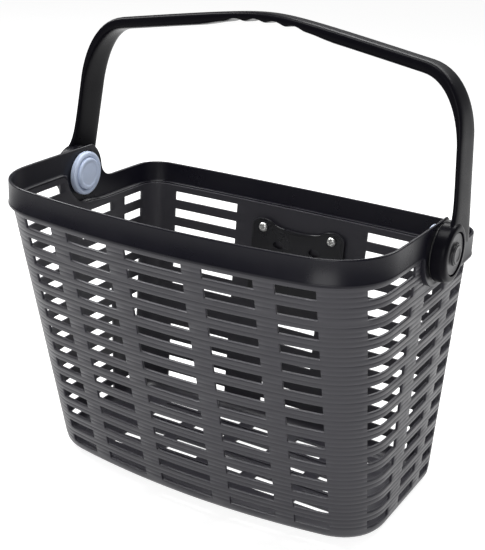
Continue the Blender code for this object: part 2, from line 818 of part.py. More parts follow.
def clutch_screw_profile():
    """Low-head screw from its tip (height 0) outwards."""
    shank = 9 * MM
    head = 1.2 * MM
    radius = SCREW_DIAMETER / 2 - 0.6 * MM - GAP
    return [
        (0, 0),
        (radius - 0.4 * MM, 0),
        (radius, 0.5 * MM),
        (radius, shank),
        (CLUTCH_HEAD / 2, shank),
        (CLUTCH_HEAD / 2, shank + head),
        (0, shank + head),
    ]


def hub_cap_profile():
    hub = HUB_CAP_DIAMETER / 2 - 1.4 * MM - GAP
    return [
        (0, 0),
        (hub, 0),
        (hub, 0.9 * MM),
        (hub - 0.5 * MM, 1.3 * MM),
        (0, 1.5 * MM),
    ]


def washer_profile():
    inner = JOURNAL_DIAMETER / 2 + 0.5 * MM
    outer = EYE_DIAMETER / 2 - 2 * MM
    return [
        (inner, 0),
        (outer, 0),
        (outer, WASHER_THICKNESS),
        (inner, WASHER_THICKNESS),
    ]


def add_spring(name, length, parts, material):
    """Compression spring about Z, made from a curve with round wire."""
    curve = bpy.data.curves.new(name, "CURVE")
    curve.dimensions = "3D"
    curve.bevel_depth = SPRING_WIRE / 2
    curve.bevel_resolution = 0
    curve.use_fill_caps = True
    steps = 12 * SPRING_TURNS
    radius = (SPRING_DIAMETER - SPRING_WIRE) / 2
    rise = length - SPRING_WIRE
    spline = curve.splines.new("POLY")
    spline.points.add(steps)
    for i, point in enumerate(spline.points):
        turn = 2 * math.pi * SPRING_TURNS * i / steps
        height = SPRING_WIRE / 2 + rise * i / steps
        point.co = (radius * math.cos(turn), radius * math.sin(turn), height, 1)
    made = bpy.data.objects.new(name, curve)
    parts.objects.link(made)
    curve.materials.append(material)
    return made


def add_pivot(side, name, parts, materials):
    grey, dark, steel, nylon = materials
    bush = add_turned(f"pivot_bush_{name}", bush_profile(), parts, grey)
    along_x(bush, RING_FACE_X, side)
    button = add_turned(f"release_button_{name}", button_profile(), parts, grey)
    along_x(button, RING_FACE_X - BUTTON_PROUD - 0.8 * MM, side)
    start = RING_FACE_X - BUTTON_PROUD + BUTTON_THICKNESS + GAP
    spring = add_spring(f"button_spring_{name}", SPRING_SEAT_X - GAP - start, parts, steel)
    along_x(spring, start, side)
    washer = add_turned(f"eye_washer_{name}", washer_profile(), parts, nylon, ROUND_SMALL)
    along_x(washer, RIM_WIDTH / 2 + GAP, side)
    plate = add_turned(f"clutch_plate_{name}", plate_profile(), parts, dark)
    along_x(plate, PLATE_INNER_X, side)
    well = PLATE_INNER_X + PLATE_THICKNESS + HUB_RISE - 1.2 * MM
    screw = add_turned(f"clutch_screw_{name}", clutch_screw_profile(), parts, steel, ROUND_SMALL)
    along_x(screw, well - 1.4 * MM + GAP - 9 * MM, side)
    cap = add_turned(f"hub_cap_{name}", hub_cap_profile(), parts, dark, ROUND_SMALL)
    along_x(cap, well + GAP, side)


# ---------------------------------------------------------------- adapter


def backing_outline():
    """Plate with a round lobe at each upper screw and a dip between them, in (x, z)."""
    half_x, half_z = (s / 2 for s in SCREW_SPACING)
    top = half_z
    side = BACKING_WIDTH / 2
    low = top + LOBE_RADIUS - 4 * MM - BACKING_HEIGHT
    foot = 8 * MM
    points = []
    for step in range(4):
        angle = math.radians(270 + 90 * step / 3)
        points.append((side - foot + foot * math.cos(angle), low + foot + foot * math.sin(angle)))
    rise = LOBE_RADIUS - 4 * MM
    for step in range(7):
        angle = math.radians(160 * step / 6)
        points.append((half_x + (side - half_x) * math.cos(angle), top + rise * math.sin(angle)))
    dip = 1.5 * MM
    points.append((half_x * 0.45, top + dip + 0.6 * MM))
    points.append((half_x * 0.2, top + dip))
    return points + [(-x, z) for x, z in reversed(points)]


def add_backing_plate(parts, cutters, material):
    plate = add_flat("backing_plate", backing_outline(), BACKING_THICKNESS, parts, material)
    place_on_back(plate)
    middle = PANEL_THICKNESS / 2 + GAP + BACKING_THICKNESS / 2
    upright = Matrix.Rotation(math.pi / 2, 4, "X")
    plate.matrix_world = plate.matrix_world @ Matrix.Translation((0, -middle, 0)) @ upright
    places = screw_places()
    for i, (x, z) in enumerate(places, 1):
        cut_across(plate, f"backing_hole_{i}", SCREW_DIAMETER + 2 * GAP, (x, z), cutters)
    for i, side in enumerate((-1, 1), 1):
        window = (side * 19 * MM, SCREW_SPACING[1] / 2 - 15 * MM)
        cut_across(plate, f"backing_window_{i}", 10 * MM, window, cutters)
    return plate


def cut_across(obj, name, diameter, place, cutters):
    hole = cylinder_cutter(name, diameter, 60 * MM, cutters, ROUND_SMALL)
    place_on_back(hole)
    spot = Matrix.Translation((place[0], 0, place[1]))
    hole.matrix_world = hole.matrix_world @ spot @ Matrix.Rotation(math.pi / 2, 4, "X")
    boolean(obj, hole, "DIFFERENCE")


def claw_outline():
    """Side view of a hook in (y, z): it stands out from the plate and its tip points down."""
    reach = CLAW_REACH
    return [
        (-1 * MM, 0),
        (reach - CLAW_CHAMFER, 0),
        (reach, -CLAW_CHAMFER),
        (reach, -20 * MM),
        (reach - 6 * MM, -20 * MM),
        (reach - 6 * MM, -8 * MM),
        (2 * MM, -8 * MM),
        (2 * MM, -30 * MM),
        (-1 * MM, -30 * MM),
    ]


def add_claw(name, x, cutters):
    """A hook as wide as CLAW_WIDTH, centred on x, in the panel's own frame."""
    claw = as_cutter(add_flat(name, claw_outline(), CLAW_WIDTH, cutters))
    place_on_back(claw)
    corner = (x, PANEL_THICKNESS / 2 + GAP + ADAPTER_SIZE[1], ADAPTER_SIZE[2] / 2 - CLAW_DROP)
    turn = Matrix(((0, 0, 1), (1, 0, 0), (0, 1, 0))).to_4x4()
    claw.matrix_world = claw.matrix_world @ Matrix.Translation(corner) @ turn
    return claw


def add_adapter_plate(parts, cutters, material):
    width, depth, height = ADAPTER_SIZE
    middle = (0, PANEL_THICKNESS / 2 + GAP + depth / 2, 0)
    plate = add_box("adapter_plate", ADAPTER_SIZE, middle, parts, material)
    place_on_back(plate)
    for i, side in enumerate((-1, 1), 1):
        boolean(plate, add_claw(f"claw_{i}", side * CLAW_SPACING / 2, cutters), "UNION")
    keeper_depth = 9 * MM
    size = (30 * MM, keeper_depth + 1 * MM, 12 * MM)
    centre = (0, PANEL_THICKNESS / 2 + GAP + depth + keeper_depth / 2 - 0.5 * MM, -height / 2 + 14 * MM)
    keeper = as_cutter(add_box("keeper", size, centre, cutters))
    boolean(plate, place_on_back(keeper), "UNION")
    for i, place in enumerate(screw_places(), 1):
        cut_across(plate, f"adapter_hole_{i}", SCREW_DIAMETER + 2 * GAP, place, cutters)
    return plate


def screw_profile(length):
    """Pan-head screw from its tip (height 0) to the head's top."""
    radius = SCREW_DIAMETER / 2
    head = SCREW_HEAD / 2
    return [
        (0, 0),
        (radius - 0.6 * MM, 0),
        (radius, 0.6 * MM),
        (radius, length),
        (head, length),
        (head, length + 1.4 * MM),
        (head * 0.62, length + 2.8 * MM),
        (0, length + 3.1 * MM),
    ]


def add_nut(name, cutters, parts, material):
    """Hexagon nut about Z, standing on z = 0, with a round hole."""
    bm = bmesh.new()
    bmesh.ops.create_cone(
        bm,
        cap_ends=True,
        segments=6,
        radius1=NUT_ACROSS_FLATS / math.sqrt(3),
        radius2=NUT_ACROSS_FLATS / math.sqrt(3),
        depth=NUT_THICKNESS,
    )
    bmesh.ops.translate(bm, vec=(0, 0, NUT_THICKNESS / 2), verts=bm.verts)
    nut = mesh_object(name, bm, parts, material)
    hole = cylinder_cutter(f"{name}_hole", SCREW_DIAMETER + 2 * GAP, 3 * NUT_THICKNESS, cutters, 12)
    hole.parent = nut
    boolean(nut, hole, "DIFFERENCE")
    return nut


def add_fastenings(parts, cutters, material):
    """Four screws with heads inside the basket, each with a nut behind the adapter plate."""
    head_y = -(PANEL_THICKNESS / 2 + GAP + BACKING_THICKNESS + GAP)
    nut_y = PANEL_THICKNESS / 2 + GAP + ADAPTER_SIZE[1] + GAP
    length = nut_y + NUT_THICKNESS + 1.5 * MM - head_y
    for i, (x, z) in enumerate(screw_places(), 1):
        screw = add_turned(f"adapter_screw_{i}", screw_profile(length), parts, material, ROUND_SMALL)
        place_on_back(screw)
        spot = Matrix.Translation((x, head_y + length, z))
        screw.matrix_world = screw.matrix_world @ spot @ Matrix.Rotation(math.pi / 2, 4, "X")
        nut = add_nut(f"adapter_nut_{i}", cutters, parts, material)
        place_on_back(nut)
        spot = Matrix.Translation((x, nut_y, z))
        nut.matrix_world = nut.matrix_world @ spot @ Matrix.Rotation(-math.pi / 2, 4, "X")


def main():
    clear_scene()
    parts = make_collection("Handlebar basket")
    cutters = make_collection("Cutters")
    black = make_material("black moulding", (0.018, 0.018, 0.021), 0.42)
    rim_black = make_material("handle moulding", (0.012, 0.012, 0.014), 0.36)
    grey = make_material("light grey moulding", (0.50, 0.54, 0.63), 0.38)
    dark = make_material("dark moulding", (0.02, 0.02, 0.023), 0.4)
    steel = make_material("zinc steel", (0.68, 0.68, 0.67), 0.28, 1.0)
    nylon = make_material("nylon", (0.02, 0.02, 0.02), 0.55)
    add_basket_body(parts, cutters, black)
    add_handle(parts, cutters, rim_black)
    for side, name in ((-1, "L"), (1, "R")):
        add_pivot(side, name, parts, (grey, dark, steel, nylon))
    add_backing_plate(parts, cutters, dark)
    add_adapter_plate(parts, cutters, dark)
    add_fastenings(parts, cutters, steel)


main()
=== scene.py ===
"""Visual model of a click-on handlebar basket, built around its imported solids.

Metres, +Z up, +X along the long walls, -Y to the front. Every moving piece rides on its own body.
"""

import logging
import math
from collections.abc import Callable, Iterable, Sequence
from dataclasses import dataclass, field
from enum import Enum

import bmesh
import bpy
from mathutils import Matrix, Vector

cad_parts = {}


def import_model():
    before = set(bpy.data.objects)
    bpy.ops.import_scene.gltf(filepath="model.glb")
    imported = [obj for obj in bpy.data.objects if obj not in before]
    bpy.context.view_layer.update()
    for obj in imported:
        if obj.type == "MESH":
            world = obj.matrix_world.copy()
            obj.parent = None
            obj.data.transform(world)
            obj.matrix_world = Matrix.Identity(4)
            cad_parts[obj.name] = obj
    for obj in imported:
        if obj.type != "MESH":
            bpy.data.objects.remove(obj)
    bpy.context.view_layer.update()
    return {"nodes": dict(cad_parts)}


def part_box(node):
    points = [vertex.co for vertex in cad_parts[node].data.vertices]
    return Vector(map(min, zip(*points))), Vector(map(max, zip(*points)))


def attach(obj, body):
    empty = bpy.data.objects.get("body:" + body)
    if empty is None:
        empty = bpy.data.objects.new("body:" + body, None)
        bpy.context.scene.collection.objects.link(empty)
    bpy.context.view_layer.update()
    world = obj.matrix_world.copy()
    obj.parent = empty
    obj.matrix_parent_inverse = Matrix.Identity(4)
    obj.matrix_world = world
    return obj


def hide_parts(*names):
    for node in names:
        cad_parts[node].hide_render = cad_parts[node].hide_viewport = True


LOG = logging.getLogger("basket")
MM = 0.001


class Body(Enum):
    """The rigid bodies that pieces ride on."""

    BASKET = "basket"
    HANDLE = "carrying_handle"
    LEFT_BUTTON = "left_button"
    RIGHT_BUTTON = "right_button"


class Side(Enum):
    """The two ends of the handle, with the sign of their X."""

    LEFT = ("L", -1, Body.LEFT_BUTTON)
    RIGHT = ("R", 1, Body.RIGHT_BUTTON)

    @property
    def letter(self) -> str:
        """Letter at the end of the side's node names."""
        return self.value[0]

    @property
    def sign(self) -> int:
        """Sign of X on this side."""
        return self.value[1]

    @property
    def button(self) -> Body:
        """The body of this side's push button."""
        return self.value[2]


class Section(Enum):
    """Stretches of a half outline, in order, each one unit of the outline's parameter."""

    FRONT = 0
    FRONT_CORNER = 1
    SIDE = 2
    BACK_CORNER = 3
    BACK = 4


# ------------------------------------------------------------------ finishes


@dataclass(frozen=True)
class Moulding:
    """Moulded plastic with a fine grain, a soft mottle and edges rubbed a little brighter."""

    name: str
    colour: tuple[float, float, float]
    roughness: float = 0.42
    roughness_swing: float = 0.07
    grain_per_metre: float = 1500.0
    grain_depth: float = 0.00003
    mottle_per_metre: float = 24.0
    mottle: float = 0.12
    rub: float = 1.6
    specular: float = 0.5

    def build(self) -> bpy.types.Material:
        """Builds the node material.

        Returns:
            The material, ready to be put on a mesh.
        """
        made = bpy.data.materials.new(self.name)
        made.use_nodes = True
        tree = made.node_tree
        shader = tree.nodes["Principled BSDF"]
        shader.inputs["Specular IOR Level"].default_value = self.specular
        place = tree.nodes.new("ShaderNodeTexCoord").outputs["Object"]
        mottle = self._noise(tree, place, self.mottle_per_metre, 4.0)
        grain = self._noise(tree, place, self.grain_per_metre, 2.0)
        dark = tuple(c * (1 - self.mottle) for c in self.colour)
        light = tuple(min(1.0, c * (1 + self.mottle)) for c in self.colour)
        tint = self._mix(tree, mottle, dark, light)
        edge = tree.nodes.new("ShaderNodeNewGeometry").outputs["Pointiness"]
        worn = self._map(tree, edge, (0.53, 0.62), (0.0, 1.0))
        rubbed = tuple(min(1.0, c * self.rub) for c in self.colour)
        tree.links.new(self._mix(tree, worn, tint, rubbed), shader.inputs["Base Color"])
        low, high = self.roughness - self.roughness_swing, self.roughness + self.roughness_swing
        shine = self._map(tree, mottle, (0.3, 0.7), (low, high))
        tree.links.new(shine, shader.inputs["Roughness"])
        bump = tree.nodes.new("ShaderNodeBump")
        bump.inputs["Distance"].default_value = self.grain_depth
        bump.inputs["Strength"].default_value = 1.0
        tree.links.new(grain, bump.inputs["Height"])
        tree.links.new(bump.outputs["Normal"], shader.inputs["Normal"])
        return made

    @staticmethod
    def _noise(tree: bpy.types.NodeTree, place, scale: float, detail: float):
        """Adds a noise texture and returns its factor output."""
        noise = tree.nodes.new("ShaderNodeTexNoise")
        noise.inputs["Scale"].default_value = scale
        noise.inputs["Detail"].default_value = detail
        tree.links.new(place, noise.inputs["Vector"])
        return noise.outputs["Fac"]

    @staticmethod
    def _map(tree: bpy.types.NodeTree, value, source: Sequence[float], target: Sequence[float]):
        """Adds a clamped range map and returns its output."""
        ranged = tree.nodes.new("ShaderNodeMapRange")
        for name, number in zip(("From Min", "From Max", "To Min", "To Max"), (*source, *target)):
            ranged.inputs[name].default_value = number
        tree.links.new(value, ranged.inputs["Value"])
        return ranged.outputs["Result"]

    @staticmethod
    def _mix(tree: bpy.types.NodeTree, factor, first, second):
        """Adds a colour mix; each end is a colour or another node's output."""
        mix = tree.nodes.new("ShaderNodeMix")
        mix.data_type = "RGBA"
        tree.links.new(factor, mix.inputs["Factor"])
        for socket, value in zip([s for s in mix.inputs if s.type == "RGBA"], (first, second)):
            if isinstance(value, tuple):
                socket.default_value = (*value, 1.0)
            else:
                tree.links.new(value, socket)
        return next(s for s in mix.outputs if s.type == "RGBA")


@dataclass(frozen=True)
class PlatedSteel:
    """Zinc-plated steel: a slightly cloudy bright metal with a fine grain."""

    name: str
    colour: tuple[float, float, float] = (0.72, 0.72, 0.70)
    roughness: float = 0.28
    cloud_per_metre: float = 260.0

    def build(self) -> bpy.types.Material:
        """Builds the node material.

        Returns:
            The material, ready to be put on a mesh.
        """
        made = bpy.data.materials.new(self.name)
        made.use_nodes = True
        tree = made.node_tree
        shader = tree.nodes["Principled BSDF"]
        shader.inputs["Metallic"].default_value = 1.0
        place = tree.nodes.new("ShaderNodeTexCoord").outputs["Object"]
        cloud = Moulding._noise(tree, place, self.cloud_per_metre, 5.0)
        dull = tuple(c * 0.72 for c in self.colour)
        tree.links.new(Moulding._mix(tree, cloud, dull, self.colour), shader.inputs["Base Color"])
        shine = Moulding._map(tree, cloud, (0.3, 0.7), (self.roughness + 0.12, self.roughness - 0.08))
        tree.links.new(shine, shader.inputs["Roughness"])
        bump = tree.nodes.new("ShaderNodeBump")
        bump.inputs["Distance"].default_value = 0.00003
        tree.links.new(Moulding._noise(tree, place, 1800.0, 3.0), bump.inputs["Height"])
        tree.links.new(bump.outputs["Normal"], shader.inputs["Normal"])
        return made


@dataclass
class Finishes:
    """Every material of the basket, built once."""

    body: bpy.types.Material = field(init=False)
    rim: bpy.types.Material = field(init=False)
    handle: bpy.types.Material = field(init=False)
    grey: bpy.types.Material = field(init=False)
    dark: bpy.types.Material = field(init=False)
    steel: bpy.types.Material = field(init=False)
    nylon: bpy.types.Material = field(init=False)

    def __post_init__(self) -> None:
        """Builds the materials."""
        self.body = Moulding("body moulding", (0.0205, 0.0195, 0.0255), roughness=0.42, specular=0.44).build()
        self.rim = Moulding(
            "rim moulding",
            (0.005, 0.0047, 0.0085),
            roughness=0.3,
            specular=0.22,
            grain_depth=0.000008,
            rub=1.5,
        ).build()
        self.handle = Moulding(
            "handle moulding",
            (0.0035, 0.0033, 0.005),
            roughness=0.3,
            specular=0.05,
            grain_depth=0.000008,
            rub=1.4,
        ).build()
        self.grey = Moulding(
            "light grey moulding",
            (0.56, 0.645, 0.82),
            roughness=0.4,
            mottle=0.03,
            rub=1.08,
            grain_depth=0.000012,
        ).build()
        self.dark = Moulding("dark moulding", (0.009, 0.009, 0.011), roughness=0.34, specular=0.35).build()
        self.steel = PlatedSteel("plated steel").build()
        self.nylon = Moulding("black nylon", (0.012, 0.012, 0.012), roughness=0.5).build()


# ------------------------------------------------------------------ mesh helpers


def finish_piece(
    mesh: bpy.types.Mesh,
    name: str,
    body: Body,
    material: bpy.types.Material | None = None,
    replaces: Iterable[str] = (),
    sharp_angle: float = 38.0,
) -> bpy.types.Object:
    """Makes a mesh whose vertices are already in place into a finished piece of the object.

    Args:
        mesh: the mesh, in the row frame.
        name: the piece's name.
        body: the body it rides on.
        material: its finish, or None to keep what the mesh has.
        replaces: the solids that it stands for.
        sharp_angle: edges steeper than this many degrees stay crisp.

    Returns:
        The piece's object.
    """
    if material:
        mesh.materials.clear()
        mesh.materials.append(material)
    mesh.name = name
    mesh.shade_smooth()
    mesh.set_sharp_from_angle(angle=math.radians(sharp_angle))
    made = bpy.data.objects.new(name, mesh)
    bpy.context.scene.collection.objects.link(made)
    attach(made, body.value)
    nodes = list(replaces)
    if nodes:
        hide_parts(*nodes)
    LOG.info("%s: %d faces on %s", name, len(mesh.polygons), body.value)
    return made


def applied(source: bpy.types.Object, transform: Matrix | None = None) -> bpy.types.Mesh:
    """Evaluates an object's modifiers into a plain mesh and removes the object.

    Args:
        source: the object, with its modifiers.
        transform: where the mesh goes, in the row frame.

    Returns:
        The evaluated mesh.
    """
    bpy.context.view_layer.update()
    graph = bpy.context.evaluated_depsgraph_get()
    mesh = bpy.data.meshes.new_from_object(source.evaluated_get(graph))
    if transform:
        mesh.transform(transform)
    bpy.data.objects.remove(source)
    return mesh


def scratch_object(name: str, mesh: bpy.types.Mesh) -> bpy.types.Object:
    """Links a mesh as an object that modifiers can work on."""
    made = bpy.data.objects.new(name, mesh)
    bpy.context.scene.collection.objects.link(made)
    return made


def scratch_from_bmesh(name: str, bm: bmesh.types.BMesh) -> bpy.types.Object:
    """Turns a bmesh into a linked object and frees it."""
    mesh = bpy.data.meshes.new(name)
    bm.to_mesh(mesh)
    bm.free()
    return scratch_object(name, mesh)


def add_bevel(obj: bpy.types.Object, width: float, segments: int = 2, angle: float = 40.0) -> None:
    """Rounds the edges steeper than an angle, in degrees."""
    bevel = obj.modifiers.new("rounding", "BEVEL")
    bevel.width = width
    bevel.segments = segments
    bevel.limit_method = "ANGLE"
    bevel.angle_limit = math.radians(angle)
    bevel.harden_normals = False


def add_boolean(obj: bpy.types.Object, other: bpy.types.Object, operation: str) -> None:
    """Joins or cuts an object with another one."""
    modifier = obj.modifiers.new(operation.lower(), "BOOLEAN")
    modifier.operation = operation
    modifier.object = other
    modifier.solver = "EXACT"
    modifier.use_self = True


def turned_mesh(name: str, profile: Sequence[tuple[float, float]], sides: int = 96) -> bpy.types.Mesh:
    """Turns a profile about Z.

    Args:
        name: the mesh's name.
        profile: (radius, height) points, up the outside and down the inside.
        sides: number of steps round.

    Returns:
        The turned mesh, closed and facing outwards.
    """
    bm = bmesh.new()
    points = [bm.verts.new((radius, 0, height)) for radius, height in profile]
    edges = [bm.edges.new(pair) for pair in zip(points, points[1:])]
    if profile[0][0] > 1e-7:
        edges.append(bm.edges.new((points[-1], points[0])))
    bmesh.ops.spin(
        bm,
        geom=points + edges,
        cent=(0, 0, 0),
        axis=(0, 0, 1),
        angle=2 * math.pi,
        steps=sides,
        use_merge=True,
    )
    bmesh.ops.remove_doubles(bm, verts=bm.verts, dist=1e-6)
    bmesh.ops.recalc_face_normals(bm, faces=bm.faces)
    mesh = bpy.data.meshes.new(name)
    bm.to_mesh(mesh)
    bm.free()
    return mesh


def rounded(profile: Sequence[tuple[float, float, float]], steps: int = 4) -> list[tuple[float, float]]:
    """Rounds the corners of a closed or open profile.

    Args:
        profile: (radius, height, corner radius) for each corner; 0 keeps it sharp.
        steps: number of stretches in each rounding.

    Returns:
        The (radius, height) points.
    """
    out: list[tuple[float, float]] = []
    count = len(profile)
    for i, (x, y, r) in enumerate(profile):
        if r <= 0 or x < 1e-7:
            out.append((x, y))
            continue
        here = Vector((x, y))
        before = Vector(profile[i - 1][:2]) - here
        after = Vector(profile[(i + 1) % count][:2]) - here
        reach = min(r, before.length * 0.48, after.length * 0.48)
        start, stop = here + before.normalized() * reach, here + after.normalized() * reach
        for step in range(steps + 1):
            t = step / steps
            point = start * (1 - t) ** 2 + here * (2 * t * (1 - t)) + stop * t**2
            out.append((point.x, point.y))
    return out


def loft(rings: Sequence[Sequence[Vector]], closed_path: bool) -> bmesh.types.BMesh:
    """Skins closed rings of points one after the other.

    Args:
        rings: rings with the same number of points.
        closed_path: whether the last ring joins the first; if not, both ends are capped.

    Returns:
        A bmesh facing outwards.
    """
    bm = bmesh.new()
    made = [[bm.verts.new(p) for p in ring] for ring in rings]
    pairs = list(zip(made, made[1:]))
    if closed_path:
        pairs.append((made[-1], made[0]))
    for low, high in pairs:
        for i in range(len(low)):
            j = (i + 1) % len(low)
            bm.faces.new((low[i], low[j], high[j], high[i]))
    if not closed_path:
        bm.faces.new(made[0])
        bm.faces.new(made[-1])
    bmesh.ops.recalc_face_normals(bm, faces=bm.faces)
    return bm


# ------------------------------------------------------------------ node trees


class NodeShape:
    """A Geometry Nodes tree with named inputs, evaluated to a plain mesh."""

    def __init__(self, name: str) -> None:
        """Starts an empty tree with a geometry input and output.

        Args:
            name: the tree's name.
        """
        self.tree = bpy.data.node_groups.new(name, "GeometryNodeTree")
        self.tree.interface.new_socket("Geometry", in_out="INPUT", socket_type="NodeSocketGeometry")
        self.tree.interface.new_socket("Geometry", in_out="OUTPUT", socket_type="NodeSocketGeometry")
        self.values: dict[str, object] = {}
        self.source: bpy.types.Node | None = None

    def add_input(self, name: str, kind: str, value: object) -> None:
        """Adds a named input and the value it will be given."""
        socket = self.tree.interface.new_socket(name, in_out="INPUT", socket_type=f"NodeSocket{kind}")
        self.values[socket.identifier] = value

    def node(self, kind: str, **settings: object) -> bpy.types.Node:
        """Adds a node by its type's name and sets its properties."""
        made = self.tree.nodes.new(kind)
        for name, value in settings.items():
            setattr(made, name, value)
        return made

    def link(self, output: bpy.types.NodeSocket, target: bpy.types.NodeSocket) -> None:
        """Links two sockets."""
        self.tree.links.new(output, target)

    def inputs(self) -> bpy.types.Node:
        """Returns the group's input node, once its inputs are all declared."""
        if self.source is None:
            self.source = self.tree.nodes.new("NodeGroupInput")
        return self.source

    def close(self, geometry: bpy.types.NodeSocket) -> None:
        """Ends the tree in Realize Instances and Set Material."""
        realize = self.node("GeometryNodeRealizeInstances")
        dress = self.node("GeometryNodeSetMaterial")
        out = self.node("NodeGroupOutput")
        self.link(geometry, realize.inputs["Geometry"])
        self.link(realize.outputs["Geometry"], dress.inputs["Geometry"])
        self.link(self.inputs().outputs["Material"], dress.inputs["Material"])
        self.link(dress.outputs["Geometry"], out.inputs["Geometry"])

    def put_on(self, obj: bpy.types.Object) -> None:
        """Adds the tree to an object as a modifier and sets its inputs."""
        modifier = obj.modifiers.new(self.tree.name, "NODES")
        modifier.node_group = self.tree
        for identifier, value in self.values.items():
            modifier[identifier] = value


def open_slots_tree(material: bpy.types.Material) -> NodeShape:
    """Tree that opens the wall's slots: it deletes the faces that carry the attribute "slot".

    Args:
        material: the wall's finish.

    Returns:
        The tree, ready to be put on the wall's grid.
    """
    shape = NodeShape("open slots")
    shape.add_input("Material", "Material", material)
    slot = shape.node("GeometryNodeInputNamedAttribute", data_type="BOOLEAN")
    slot.inputs["Name"].default_value = "slot"
    opened = shape.node("GeometryNodeDeleteGeometry", domain="FACE")
    shape.link(shape.inputs().outputs["Geometry"], opened.inputs["Geometry"])
    shape.link(slot.outputs["Attribute"], opened.inputs["Selection"])
    shape.close(opened.outputs["Geometry"])
    return shape


def fine_groove_tree(material: bpy.types.Material, depth: float) -> NodeShape:
    """Tree that sinks fine grooves into the outer face of a wall.

    It reads "groove" (0 to 1), "outward" (as on the right half) and the group "inner" of the inner face.

    Args:
        material: the wall's finish.
        depth: depth of a groove, in metres.

    Returns:
        The tree, ready to be put on the wall.
    """
    shape = NodeShape("fine grooves")
    shape.add_input("Groove Depth", "Float", depth)
    shape.add_input("Material", "Material", material)
    source = shape.inputs()

    def attribute(name: str, kind: str):
        """Adds a named attribute and returns its output."""
        made = shape.node("GeometryNodeInputNamedAttribute", data_type=kind)
        made.inputs["Name"].default_value = name
        return made.outputs["Attribute"]

    def maths(operation: str, *values):
        """Adds a maths node on outputs or numbers and returns its output."""
        made = shape.node("ShaderNodeMath", operation=operation)
        for socket, value in zip(made.inputs, values):
            if isinstance(value, float):
                socket.default_value = value
            else:
                shape.link(value, socket)
        return made.outputs["Value"]

    outer = maths("SUBTRACT", 1.0, attribute("inner", "FLOAT"))
    sunk = maths("MULTIPLY", maths("MULTIPLY", attribute("groove", "FLOAT"), outer), source.outputs["Groove Depth"])
    place = shape.node("ShaderNodeSeparateXYZ")
    shape.link(shape.node("GeometryNodeInputPosition").outputs["Position"], place.inputs["Vector"])
    way = shape.node("ShaderNodeSeparateXYZ")
    shape.link(attribute("outward", "FLOAT_VECTOR"), way.inputs["Vector"])
    both = shape.node("ShaderNodeCombineXYZ")
    side = maths("SIGN", place.outputs["X"])
    shape.link(maths("MULTIPLY", way.outputs["X"], side), both.inputs["X"])
    shape.link(way.outputs["Y"], both.inputs["Y"])
    move = shape.node("ShaderNodeVectorMath", operation="SCALE")
    shape.link(both.outputs["Vector"], move.inputs[0])
    shape.link(maths("MULTIPLY", sunk, -1.0), move.inputs["Scale"])
    carve = shape.node("GeometryNodeSetPosition")
    shape.link(source.outputs["Geometry"], carve.inputs["Geometry"])
    shape.link(move.outputs["Vector"], carve.inputs["Offset"])
    shape.close(carve.outputs["Geometry"])
    return shape


def repeat_tree(name: str, item: bpy.types.Object, material: bpy.types.Material) -> NodeShape:
    """Tree that puts one item on each point of the object's mesh.

    Args:
        name: the tree's name.
        item: the object that is repeated.
        material: the finish of all copies.

    Returns:
        The tree, ready to be put on a mesh of loose points.
    """
    shape = NodeShape(name)
    shape.add_input("Item", "Object", item)
    shape.add_input("Material", "Material", material)
    source = shape.inputs()
    info = shape.node("GeometryNodeObjectInfo")
    points = shape.node("GeometryNodeMeshToPoints")
    place = shape.node("GeometryNodeInstanceOnPoints")
    shape.link(source.outputs["Item"], info.inputs["Object"])
    shape.link(source.outputs["Geometry"], points.inputs["Mesh"])
    shape.link(points.outputs["Points"], place.inputs["Points"])
    shape.link(info.outputs["Geometry"], place.inputs["Instance"])
    shape.close(place.outputs["Instances"])
    return shape


def repeated(
    name: str,
    item: bpy.types.Mesh,
    places: Iterable[Vector],
    material: bpy.types.Material,
    transform: Matrix,
) -> bpy.types.Mesh:
    """Repeats a mesh at each place with a node tree.

    Args:
        name: name of the tree and the result.
        item: the mesh that is repeated.
        places: where its copies go, in the pattern's own frame.
        material: the finish of all copies.
        transform: from the pattern's own frame to the row frame.

    Returns:
        One plain mesh of all the copies.
    """
    source = scratch_object(f"{name} item", item)
    points = bpy.data.meshes.new(name)
    points.from_pydata([tuple(p) for p in places], [], [])
    holder = scratch_object(name, points)
    repeat_tree(name, source, material).put_on(holder)
    mesh = applied(holder, transform)
    bpy.data.objects.remove(source)
    return mesh


# ------------------------------------------------------------------ outline of the basket


